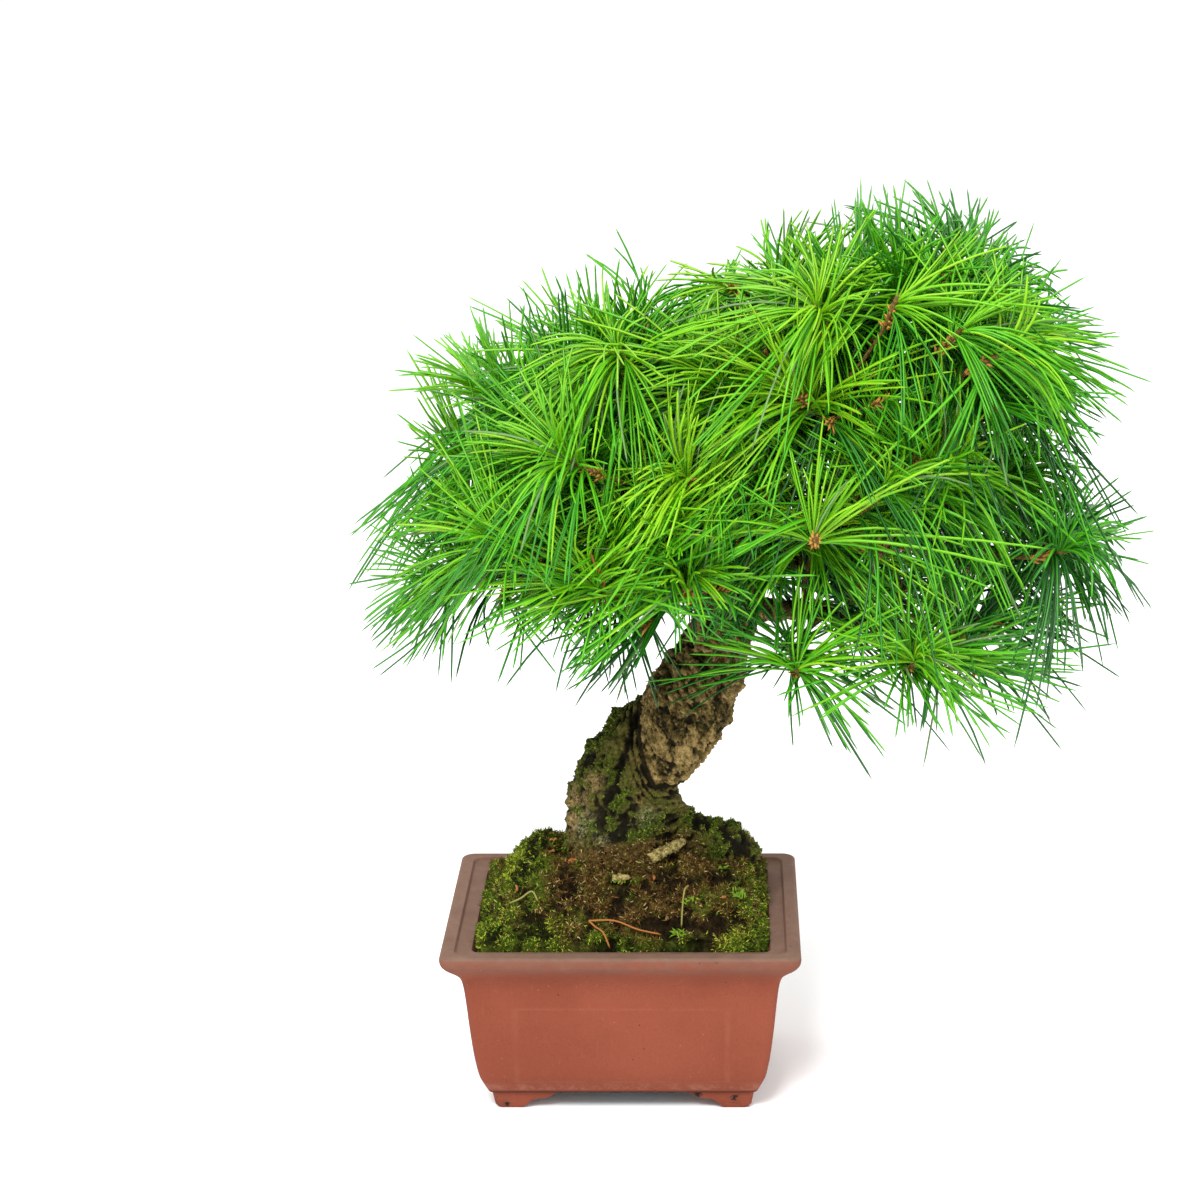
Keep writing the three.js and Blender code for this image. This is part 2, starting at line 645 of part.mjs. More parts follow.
function insideCrown(point) {
  return CROWN_LOBES.some(([middle, half]) => {
    const away = point.clone().sub(abovePotRim(middle));
    return Math.hypot(away.x / half[0], away.y / half[1], away.z / half[2]) < 1;
  });
}

function keepsToItsSpace(tip, tuft) {
  if (!insideCrown(tip)) return false;
  const own = tip.distanceTo(tuft.bud);
  for (const mass of masses) {
    if (mass.owner === tuft.owner) continue;
    for (const other of mass.tufts) {
      if (tip.distanceTo(other.bud) < 0.5 * own) return false;
    }
  }
  return true;
}

const GOLDEN_TURN = Math.PI * (3 - Math.sqrt(5));
const NEEDLE_RADII = [NEEDLE_RADIUS, NEEDLE_RADIUS, 0];

function growNeedles() {
  const needles = new Map(masses.map((mass) => [mass.owner, []]));
  const tufts = masses.flatMap((mass) => mass.tufts);
  const randoms = tufts.map((_, i) => seeded(5000 + i * 31));
  for (let k = 0; k < NEEDLES_A_TUFT; k++) {
    tufts.forEach((tuft, i) => {
      const random = randoms[i];
      for (let attempt = 0; attempt < NEEDLE_TRIES; attempt++) {
        const share = (k + 0.25 + 0.5 * random()) / NEEDLES_A_TUFT;
        const turn = k * GOLDEN_TURN + i + attempt * 0.7 + random() * 0.5;
        const length = NEEDLE_LENGTH * (0.86 + 0.28 * random()) * (1 - 0.07 * attempt);
        const path = needlePath(tuft, share, turn, length);
        if (!keepsToItsSpace(path[2], tuft)) continue;
        if (!isClear(path, NEEDLE_RADII, tuft.owner, NEEDLE_CLEARANCE)) continue;
        keepStretches(path, NEEDLE_RADII, tuft.owner);
        needles.get(tuft.owner).push(path);
        break;
      }
    });
  }
  return needles;
}

const needles = growNeedles();

function makeMass(mass) {
  const pieces = mass.tufts.map((tuft) => tube(tuft.path, tuft.radii, 3));
  for (const path of needles.get(mass.owner)) {
    pieces.push(blade(...path, NEEDLE_RADIUS));
  }
  return largestBody(joined(pieces).subtract(clearances[mass.limbName]));
}

// Materials.
const CLAY = new THREE.MeshStandardMaterial({ color: 0xa4543c, roughness: 0.85, metalness: 0 });
const MOSS = new THREE.MeshStandardMaterial({ color: 0x4a4a1a, roughness: 0.95, metalness: 0 });
const BARK = new THREE.MeshStandardMaterial({ color: 0x6b5138, roughness: 0.9, metalness: 0 });
const NEEDLE = new THREE.MeshStandardMaterial({ color: 0x4d9a1e, roughness: 0.55, metalness: 0 });

const plant = new THREE.Group();

function addPart(name, manifold, material) {
  const mesh = new THREE.Mesh(geometryOf(manifold), material);
  mesh.name = name;
  plant.add(mesh);
}

addPart("pot", makePot(), CLAY);
addPart("soil", makeSoil(), MOSS);
addPart("trunk", makeTrunk(0, GROUND), BARK);
Object.keys(BOUGHS).forEach((name, i) => addPart("bough_" + name, makeBough(name, i), BARK));
masses.forEach((mass) => addPart("foliage_" + mass.name, makeMass(mass), NEEDLE));

const box = new THREE.Box3().setFromObject(plant);
plant.position.set(-(box.min.x + box.max.x) / 2, -(box.min.y + box.max.y) / 2, -box.min.z);

export default plant;
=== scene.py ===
"""The looks of a Japanese white pine bonsai in its clay pot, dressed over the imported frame.

Lengths here are millimetres, laid out about the middle of the pot with heights above its rim,
as the solids are. to_frame() turns them into the frame's metres.
"""
import math

import bpy
import numpy as np
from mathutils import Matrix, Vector, noise


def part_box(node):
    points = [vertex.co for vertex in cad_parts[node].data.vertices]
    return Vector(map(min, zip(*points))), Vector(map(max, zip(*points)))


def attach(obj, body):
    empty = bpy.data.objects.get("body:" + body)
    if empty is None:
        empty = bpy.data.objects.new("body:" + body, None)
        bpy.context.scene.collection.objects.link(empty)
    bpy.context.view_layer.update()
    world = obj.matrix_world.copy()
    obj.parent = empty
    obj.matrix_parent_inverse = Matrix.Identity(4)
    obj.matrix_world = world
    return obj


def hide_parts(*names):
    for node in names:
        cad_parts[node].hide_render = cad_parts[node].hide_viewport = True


MM = 0.001
NOISE_SEED = 3

# The noise module starts from the clock unless it is given a seed.
noise.seed_set(NOISE_SEED)

# Colours are written as they look in the photograph. A white surface in the scene's light is
# this much brighter than white there, so the shaders take them this much darker.
LIGHT = 1.5

# The pot's driving dimensions.
POT_WIDTH = 161
POT_DEPTH = 122
POT_HEIGHT = 84.8
RIM_BEAD = 7.5
RIM_WIDTH = 15.3
RIM_STEP = 1.8
RIM_CORNER = 5
FLOOR_UNDERSIDE = 9.6
FLOOR_TOP = 15.5

# The trunk's driving dimensions.
ROOTSTOCK_AXIS = [[0, 0, 8], [-1, 0, 36], [-1, 0, 55], [9, 2, 76], [20, 4, 89], [29, 4, 96]]
ROOTSTOCK_RADIUS = [26.5, 25.5, 24, 20.5, 17, 13]
SCION_AXIS = [
    [20, -9, 60], [23, -8, 80], [31, -3, 101], [38, 0, 116], [46, 3, 134], [56, 6, 168],
    [61, 8, 200], [84, 8, 224], [115, 2, 243], [121, -3, 265], [119, -7, 279],
]
SCION_RADIUS = 28
SCION_TIP_RADIUS = 2
KNOB_SHARE = 0.2
KNOB_SWELL = 0.69

# Each root: direction in degrees, reach, radius, the height at which it leaves the trunk's
# middle, and the height of its far end.
ROOTS = [
    [2, 53, 12.5, 40, 27],
    [186, 18, 13, 42, 16],
    [-58, 32, 8, 36, 19],
    [-122, 22, 9, 38, 15],
    [70, 27, 10, 38, 16],
    [128, 22, 9, 38, 15],
]

# Each bough: the height at which it leaves the trunk, its tip, its radius and its arch.
BOUGHS = {
    "front": (146, [24, -56, 166], 6, 5),
    "left_low": (154, [-36, -10, 160], 6.2, 6),
    "left_mid": (172, [-4, -22, 204], 5.4, 4),
    "left_top": (192, [20, 2, 240], 5, -5),
    "front_mid": (178, [74, -54, 194], 5, 6),
    "right_mid": (166, [120, -26, 192], 5.6, 5),
    "right_low": (140, [116, -20, 142], 6.2, 8),
    "right_back": (156, [138, 40, 162], 5.8, 7),
    "back_low": (148, [44, 62, 160], 5.8, 5),
    "back_mid": (184, [66, 56, 216], 5, 4),
    "top_front": (213, [80, -34, 240], 4.2, 3),
    "top_left": (219, [66, 20, 264], 4, -3),
    "top_right": (240, [144, -24, 252], 3.4, 2),
    "top_back": (232, [118, 42, 256], 3.6, 3),
}
BOUGH_TIP_SHARE = 0.42

# Each mass of foliage: the limb it grows on and how far along it, the place of its leading
# tuft, the way that tuft points (degrees round from +X, degrees up), and its side tufts.
MASSES = {
    "front_centre": ["front", 1.0, [31, -89, 178], [-85, 12], 2],
    "front_left": ["front", 0.84, [-5, -80, 175], [-125, 20], 2],
    "left_front": ["left_low", 0.72, [-43, -36, 180], [-150, 35], 2],
    "left_tip": ["left_low", 1.0, [-77, -18, 164], [188, 16], 2],
    "left_under": ["left_low", 0.88, [-62, 8, 156], [165, -4], 1],
    "left_back": ["left_low", 0.6, [-44, 46, 172], [130, 22], 2],
    "middle_left": ["left_mid", 1.0, [-16, -46, 220], [-140, 38], 2],
    "middle_front": ["left_mid", 0.7, [32, -78, 222], [-105, 42], 1],
    "middle_far_left": ["left_mid", 0.86, [-66, 4, 208], [178, 22], 2],
    "upper_left": ["left_top", 0.9, [-54, 2, 238], [170, 34], 2],
    "upper_left_peak": ["left_top", 1.0, [4, -10, 260], [-160, 66], 2],
    "upper_left_back": ["left_top", 0.72, [-14, 52, 238], [135, 40], 1],
    "centre_front": ["front_mid", 1.0, [83, -93, 202], [-88, 20], 2],
    "centre_right": ["front_mid", 0.78, [108, -74, 214], [-55, 42], 2],
    "centre_top": ["front_mid", 0.55, [46, -42, 250], [-100, 60], 1],
    "right_front": ["right_mid", 1.0, [132, -56, 220], [-35, 36], 1],
    "right_middle": ["right_mid", 0.78, [164, -10, 204], [0, 24], 2],
    "low_front": ["right_low", 0.62, [76, -46, 134], [-90, -8], 1],
    "low_right_front": ["right_low", 0.86, [124, -56, 138], [-75, -2], 1],
    "low_right": ["right_low", 1.0, [152, -36, 128], [-30, -12], 2],
    "low_right_tip": ["right_low", 0.74, [170, 8, 136], [12, -6], 1],
    "right_tip": ["right_back", 1.0, [194, 6, 168], [4, 12], 2],
    "right_back": ["right_back", 0.84, [150, 82, 166], [60, 10], 2],
    "right_back_top": ["right_back", 0.66, [148, 46, 204], [40, 48], 1],
    "back_centre": ["back_low", 1.0, [52, 100, 166], [88, 12], 2],
    "back_left": ["back_low", 0.84, [2, 84, 172], [122, 16], 2],
    "back_under": ["back_low", 0.6, [92, 62, 142], [60, -6], 1],
    "back_middle": ["back_mid", 1.0, [70, 94, 220], [85, 34], 1],
    "back_middle_left": ["back_mid", 0.8, [26, 66, 236], [120, 52], 1],
    "back_middle_right": ["back_mid", 0.62, [108, 82, 214], [66, 34], 1],
    "top_front_left": ["top_front", 1.0, [79, -64, 254], [-120, 34], 2],
    "top_front_peak": ["top_front", 0.7, [90, -16, 280], [-110, 64], 1],
    "top_left_peak": ["top_left", 1.0, [72, 18, 284], [140, 62], 1],
    "top_left_back": ["top_left", 0.75, [52, 58, 262], [115, 46], 1],
    "top_right_tip": ["top_right", 1.0, [157, -38, 265], [-22, 20], 2],
    "top_right_back": ["top_back", 1.0, [150, 34, 278], [32, 44], 2],
    "top_back": ["top_back", 0.75, [106, 74, 258], [88, 42], 1],
    "top_leader": ["trunk", 1.0, [120, -18, 287], [-80, 64], 2],
}

# The crown's outline: rounded lobes, each a middle and three half sizes.
CROWN_LOBES = [
    [[-5, 4, 206], [97, 136, 106]],
    [[-70, 2, 164], [54, 84, 54]],
    [[-80, 2, 142], [44, 62, 40]],
    [[130, 4, 261], [106, 122, 74]],
    [[150, 6, 163], [86, 128, 80]],
    [[104, -26, 132], [60, 74, 52]],
]

# How high and how low needles reach at each place along X, and how far to each side at each
# height.
CROWN_TOP = [
    [-125, 200], [-102, 256], [-77, 274], [-47, 289], [0, 310], [26, 297], [46, 297], [62, 312],
    [84, 328], [110, 336], [135, 336], [178, 318], [225, 268], [242, 200],
]
CROWN_UNDERSIDE = [
    [-125, 122], [-100, 108], [-84, 112], [-66, 132], [-48, 138], [-30, 134], [-16, 108],
    [18, 100], [50, 102], [85, 88], [133, 88], [170, 98], [196, 100], [216, 126], [242, 150],
]
CROWN_LEFT = [
    [100, -102], [126, -121], [175, -122], [190, -111], [206, -89], [215, -89], [225, -99],
    [258, -99], [275, -80], [312, 0],
]
CROWN_RIGHT = [
    [80, 170], [124, 216], [150, 236], [185, 238], [205, 222], [222, 208], [234, 214], [248, 234],
    [268, 236], [300, 205], [318, 178], [336, 132],
]

# How far they reach to the front and back of the crown's middle at each height.
CROWN_HALF_DEPTH = [
    [80, 96], [110, 120], [150, 134], [235, 132], [275, 114], [305, 88], [325, 62], [342, 34],
]
CROWN_MIDDLE_Y = 4

# Twigs and buds. A small tuft has at least this much room inside the crown's outline.
TWIG_RADIUS = 1.4
BUD_RADIUS = 1.9
BUD_LENGTH = 8
SIDE_TUFT_REACH = 27
FINE_REACH = 17
SPUR_REACH = 15
SPURS_A_BOUGH = 5
LEAST_ROOM = 14

# Needles grow in bundles along the last stretch of a twig and a little beyond its bud.
BUNDLE = 5
BUNDLE_SPREAD = 0.16
NEEDLED_LENGTH = 21
STAR_NEEDLED_LENGTH = 9
BEYOND_BUD = 6
NEEDLE_LENGTH = 51
LENGTH_SPREAD = 0.12
LENGTH_RANGE = (0.65, 1.2)
NEEDLE_RADIUS = 0.63
NEEDLE_STATIONS = [0, 0.14, 0.3, 0.46, 0.62, 0.78, 0.95, 1]
NEEDLE_TAPER = [0.8, 0.94, 1, 1, 0.98, 0.92, 0.74, 0]

# How far a bundle leans out from its twig in degrees, from the tip's to the lowest, and how
# needles bend as shares of their length: outwards, under their weight, and each by itself.
NARROWEST = 6
STAR_NARROWEST = 16
WIDEST = 74
OUTWARD_BEND = 0.3
DROOP = (0.42, 0.92)
NEEDLE_BEND = 0.11

# A bundle that would reach past the crown's outline, give or take the margin, is tried again
# at each of these lengths. Few bundles point down, and needles thin out in a band above the
# crown's underside except over the trunk.
SHRINKS = (1.0, 0.86, 0.74)
MARGIN = (-5, 12)
DOWNWARD = -0.25
UNDERSIDE_SHARE = 0.24
FARTHEST_OUT = -5
MOST_DEPTH = 141
THIN_BAND = 26
THINNED = 0.54
OVER_TRUNK = 24
FEWEST_KEPT = 0.5

# Each kind of tuft: its bundles of needles, its size against the leading one, and how much darker it is,
# which is painted shade for the smaller tufts inside the crown.
TUFT_KINDS = {
    "lead": (31, 0.98, 0.2),
    "star": (32, 0.88, 0.15),
    "side": (12, 0.86, 0.9),
    "fine": (6, 0.74, 1.5),
    "spur": (9, 0.8, 1.7),
}
# Young shoots at the front of the crown: where each bud sits, and which way it points.
STARS = [
    [[-12, -88, 232], [-160, 25]],
    [[-39, -81, 193], [-165, 25]],
    [[-4, -88, 178], [-130, 45]],
    [[30, -72, 175], [-90, 50]],
    [[85, -44, 187], [-75, 45]],
    [[115, -65, 293], [-60, 60]],
    [[153, -78, 274], [-25, 35]],
    [[125, -73, 142], [-80, 30]],
    [[186, -60, 187], [-20, 20]],
    [[77, -67, 137], [-90, 20]],
    [[5, -53, 268], [-130, 50]],
    [[85, -53, 287], [-120, 60]],
    [[139, -76, 283], [-40, 45]],
]
STAR_STEM = 34
GOLDEN_TURN = math.pi * (3 - math.sqrt(5))

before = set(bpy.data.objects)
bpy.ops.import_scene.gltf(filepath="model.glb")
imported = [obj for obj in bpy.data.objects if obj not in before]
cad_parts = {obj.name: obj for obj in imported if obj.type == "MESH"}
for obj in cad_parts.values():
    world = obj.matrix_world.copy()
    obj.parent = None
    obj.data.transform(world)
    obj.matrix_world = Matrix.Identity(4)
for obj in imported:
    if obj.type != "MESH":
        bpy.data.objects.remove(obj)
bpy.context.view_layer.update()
POT_LOW, POT_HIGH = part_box("pot")
RIM_MIDDLE = np.array([(POT_LOW.x + POT_HIGH.x) / 2, (POT_LOW.y + POT_HIGH.y) / 2, POT_HIGH.z])
FOLIAGE_NODES = sorted(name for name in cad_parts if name.startswith("foliage_"))
LIMB_NODES = sorted(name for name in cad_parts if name.startswith("bough_"))


def to_frame(points):
    """Millimetres about the rim's middle, as metres in the frame."""
    return np.asarray(points, float) * MM + RIM_MIDDLE


def srgb(red, green, blue):
    """A colour given as 0 to 255 per channel, as the linear values a shader takes."""
    values = np.array([red, green, blue]) / 255
    linear = np.where(values <= 0.04045, values / 12.92, ((values + 0.055) / 1.055) ** 2.4)
    return (*(linear / LIGHT).tolist(), 1.0)


# Random numbers and directions, by the same rule as the solids.
def seeded(seed):
    mask = 0xFFFFFFFF
    state = seed & mask

    def draw():
        nonlocal state
        state = (state + 0x6D2B79F5) & mask
        t = ((state ^ (state >> 15)) * (state | 1)) & mask
        t = ((t + (((t ^ (t >> 7)) * (t | 61)) & mask)) & mask) ^ t
        return ((t ^ (t >> 14)) & mask) / (mask + 1)

    return draw


def unit(vector):
    return vector / np.linalg.norm(vector)


def units(vectors, tiny=0.0):
    """Each vector at length 1. tiny keeps one of no length from being divided by nothing."""
    return vectors / (np.linalg.norm(vectors, axis=-1, keepdims=True) + tiny)


def turns_round(count):
    return np.arange(count) / count * 2 * math.pi


def pointing(azimuth, elevation):
    a = math.radians(azimuth)
    e = math.radians(elevation)
    return np.array([math.cos(a) * math.cos(e), math.sin(a) * math.cos(e), math.sin(e)])


def cross_axes(axis):
    helper = np.array([1.0, 0, 0]) if abs(axis[2]) > 0.9 else np.array([0, 0, 1.0])
    first = unit(np.cross(helper, axis))
    return first, np.cross(axis, first)


def around(axis, turn):
    """The direction square to an axis, at that turn about it."""
    across, over = cross_axes(axis)
    return across * math.cos(turn) + over * math.sin(turn)


def leaning(axis, turn, lean):
    """The axis tipped over by the lean, at that turn about it."""
    return axis * math.cos(lean) + around(axis, turn) * math.sin(lean)


# Curves, by the same rule as the solids.
def centripetal(points):
    """A smooth curve through the points, as a function of 0 to 1."""
    points = [np.array(point, float) for point in points]
    last = len(points) - 1
    padded = [2 * points[0] - points[1], *points, 2 * points[last] - points[last - 1]]

    def at(share):
        place = min(max(share, 0), 1) * last
        index = min(int(place), last - 1)
        t = place - index
        p0, p1, p2, p3 = padded[index:index + 4]
        d0, d1, d2 = [np.linalg.norm(b - a) ** 0.5 for a, b in ((p0, p1), (p1, p2), (p2, p3))]
        t1 = ((p1 - p0) / d0 - (p2 - p0) / (d0 + d1) + (p2 - p1) / d1) * d1
        t2 = ((p2 - p1) / d1 - (p3 - p1) / (d1 + d2) + (p3 - p2) / d2) * d1
        c2 = -3 * p1 + 3 * p2 - 2 * t1 - t2
        c3 = 2 * p1 - 2 * p2 + t1 + t2
        return p1 + t1 * t + c2 * t * t + c3 * t * t * t

    return at


def bent(start, control, end):
    """A quadratic curve, as a function of 0 to 1."""

    def at(share):
        rest = 1 - share
        return start * rest * rest + control * 2 * rest * share + end * share * share

    return at


def sampled(curve, steps):
    return [curve(i / steps) for i in range(steps + 1)]


def dense(points, steps):
    return sampled(centripetal(points), steps)


scion_curve = centripetal(SCION_AXIS)
rootstock_curve = centripetal(ROOTSTOCK_AXIS)


def scion_radius(share):
    taper = SCION_TIP_RADIUS + (SCION_RADIUS - SCION_TIP_RADIUS) * (1 - share) ** 1.45
    return taper * min(1, (share + 0.004) / KNOB_SHARE) ** KNOB_SWELL


def rootstock_radius(share):
    place = share * (len(ROOTSTOCK_RADIUS) - 1)
    return float(np.interp(place, range(len(ROOTSTOCK_RADIUS)), ROOTSTOCK_RADIUS))


def trunk_axis_at(height):
    low, high = 0.0, 1.0
    for _ in range(30):
        middle = (low + high) / 2
        if scion_curve(middle)[2] < height:
            low = middle
        else:
            high = middle
    return scion_curve(low)


def bough_curve(leaves_at, tip, arch):
    start = trunk_axis_at(leaves_at)
    tip = np.array(tip, float)
    return bent(start, (start + tip) / 2 + np.array([0, 0, arch]), tip)


limb_curves = {"trunk": scion_curve}
for limb_name, (leaves_at, tip, _, arch) in BOUGHS.items():
    limb_curves[limb_name] = bough_curve(leaves_at, tip, arch)


# Meshes from arrays.
TINY = 1e-9


def new_object(name, data):
    piece = bpy.data.objects.new(name, data)
    bpy.context.scene.collection.objects.link(piece)
    return piece


def mesh_object(name, points, polygons, material, smooth=False):
    """One mesh piece. points are millimetres, polygons a list of index arrays of one width each."""
    mesh = bpy.data.meshes.new(name)
    mesh.vertices.add(len(points))
    mesh.vertices.foreach_set("co", to_frame(points).ravel())
    corners = np.concatenate([part.ravel() for part in polygons]).astype(np.int32)
    sizes = np.concatenate([np.full(len(part), part.shape[1]) for part in polygons])
    starts = (np.cumsum(sizes) - sizes).astype(np.int32)
    mesh.loops.add(len(corners))
    mesh.loops.foreach_set("vertex_index", corners)
    mesh.polygons.add(len(sizes))
    mesh.polygons.foreach_set("loop_start", starts)
    mesh.update(calc_edges=True)
    mesh.validate()
    if smooth:
        mesh.shade_smooth()
    mesh.materials.append(material)
    return new_object(name, mesh)


def ring_quads(rings, sides):
    """The faces between rings of points that follow one another."""
    i = np.arange(sides)
    n = (i + 1) % sides
    first = np.stack([i, n, n + sides, i + sides], 1)
    return np.concatenate([first + j * sides for j in range(rings - 1)])


def loft(rings, cap_start=True):
    """A skin over rings of equal count, as points and polygons."""
    count = len(rings[0])
    cap = np.arange(count)[None]
    polygons = [ring_quads(len(rings), count)]
    if cap_start:
        polygons.append(cap[:, ::-1])
    polygons.append(cap + (len(rings) - 1) * count)
    return np.concatenate(rings), polygons


def swept(paths, radii, sides):
    """Tapering skins along many paths of equal length, each ending in a point.

    paths is (count, stations, 3) and radii (count, stations). Returns points and polygons.
    """
    count, stations, _ = paths.shape
    along = units(np.gradient(paths, axis=1), TINY)
    first = along[:, 0]
    helper = np.where(np.abs(first[:, 2:3]) > 0.9, [[1.0, 0, 0]], [[0, 0, 1.0]])
    side = np.cross(helper, first)[:, None]
    side = units(side - along * np.sum(side * along, axis=2, keepdims=True), TINY)
    across = np.cross(along, side)
    turns = turns_round(sides)[:, None]
    ring = side[:, :, None] * np.cos(turns) + across[:, :, None] * np.sin(turns)
    rings = paths[:, :-1, None] + ring[:, :-1] * radii[:, :-1, None, None]
    body = rings.reshape(count, (stations - 1) * sides, 3)
    points = np.concatenate([body, paths[:, -1:]], axis=1)
    size = points.shape[1]
    i = np.arange(sides)
    last = (stations - 2) * sides
    tips = np.stack([last + i, last + (i + 1) % sides, np.full(sides, size - 1)], 1)
    starts = (np.arange(count) * size)[:, None, None]
    quads = (ring_quads(stations - 1, sides) + starts).reshape(-1, 4)
    return points.reshape(-1, 3), [quads, (tips + starts).reshape(-1, 3)]


# Shaders.
class Shader:
    """A Principled material and short names for the nodes that it is built from."""

    def __init__(self, name, roughness, specular):
        self.material = bpy.data.materials.new(name)
        self.material.use_nodes = True
        self.nodes = self.material.node_tree.nodes
        self.links = self.material.node_tree.links
        self.surface = self.nodes["Principled BSDF"].inputs
        self.surface["Roughness"].default_value = roughness
        self.surface["Specular IOR Level"].default_value = specular
        self.where = self.nodes.new("ShaderNodeTexCoord").outputs["Object"]

    def feed(self, socket, value):
        if isinstance(value, bpy.types.NodeSocket):
            self.links.new(value, socket)
        else:
            socket.default_value = value

    def node(self, kind, output, inputs, **settings):
        """A new node with its settings and inputs, as the output that is asked for."""
        node = self.nodes.new("ShaderNode" + kind)
        for name, value in settings.items():
            setattr(node, name, value)
        for name, value in inputs.items():
            self.feed(node.inputs[name], value)
        return node.outputs[output]

    def noise(self, size, detail=4, rough=0.55, stretch=None):
        """Noise with features of about that size in millimetres."""
        where = self.where
        if stretch:
            where = self.node("Mapping", "Vector", {"Vector": where, "Scale": [1 / n for n in stretch]})
        inputs = {"Scale": 1 / (size * MM), "Detail": detail, "Roughness": rough, "Vector": where}
        return self.node("TexNoise", "Fac", inputs)

    def cells(self, size):
        """How far off the middle of its cell a place is, for cells of about that size."""
        inputs = {"Scale": 1 / (size * MM), "Vector": self.where}
        return self.node("TexVoronoi", "Distance", inputs)

    def between(self, value, low, high):
        """0 below low, 1 above high."""
        inputs = {"Value": value, "From Min": low, "From Max": high}
        return self.node("MapRange", "Result", inputs, interpolation_type="SMOOTHSTEP")

    def math(self, operation, a, b=0.0):
        return self.node("Math", 0, {0: a, 1: b}, operation=operation)

    def times(self, first, *others):
        for other in others:
            first = self.math("MULTIPLY", first, other)
        return first

    def mix(self, share, a, b):
        """Two colours mixed, each a socket or 0 to 255 per channel."""
        a, b = [srgb(*value) if isinstance(value, tuple) else value for value in (a, b)]
        return self.node("Mix", 2, {"Factor": share, 6: a, 7: b}, data_type="RGBA")

    def over(self, base, colour, *shares):
        """The colour laid over the base, as thickly as all the shares allow."""
        return self.mix(self.times(*shares), base, colour)

    def ramp(self, value, *stops):
        """Colours along the value. A stop is its place and 0 to 255 per channel."""
        node = self.nodes.new("ShaderNodeValToRGB")
        elements = node.color_ramp.elements
        while len(elements) < len(stops):
            elements.new(0.5)
        for element, (place, *colour) in zip(elements, stops):
            element.position = place
            element.color = srgb(*colour)
        self.links.new(value, node.inputs["Fac"])
        return node.outputs["Color"]

    def attribute(self, name):
        return self.node("Attribute", "Fac", {}, attribute_name=name)

    def position(self, axis):
        """Height, or place along another axis, in the frame's metres."""
        return self.node("SeparateXYZ", axis, {0: self.where})

    def level(self, low, high):
        """0 below the first height in millimetres above the ground, 1 above the second."""
        return self.between(self.position("Z"), low * MM, high * MM)

    def facing(self, axis):
        normal = self.node("NewGeometry", "Normal", {})
        return self.node("SeparateXYZ", axis, {0: normal})

    def bump(self, height, distance, strength=1.0):
        inputs = {"Height": height, "Distance": distance * MM, "Strength": strength}
        self.links.new(self.node("Bump", "Normal", inputs), self.surface["Normal"])

    def colour(self, value):
        self.feed(self.surface["Base Color"], value)


# A faint frame on the pot's long sides, and dark stains on its feet: across, height and radius.
PANEL_HALF_WIDTH = 48
PANEL_HALF_HEIGHT = 19.5
PANEL_MIDDLE = 36
STAINS = [[34.5, 7.4, 3.0], [50.6, 6.2, 3.4], [-53.6, 2.5, 1.8]]


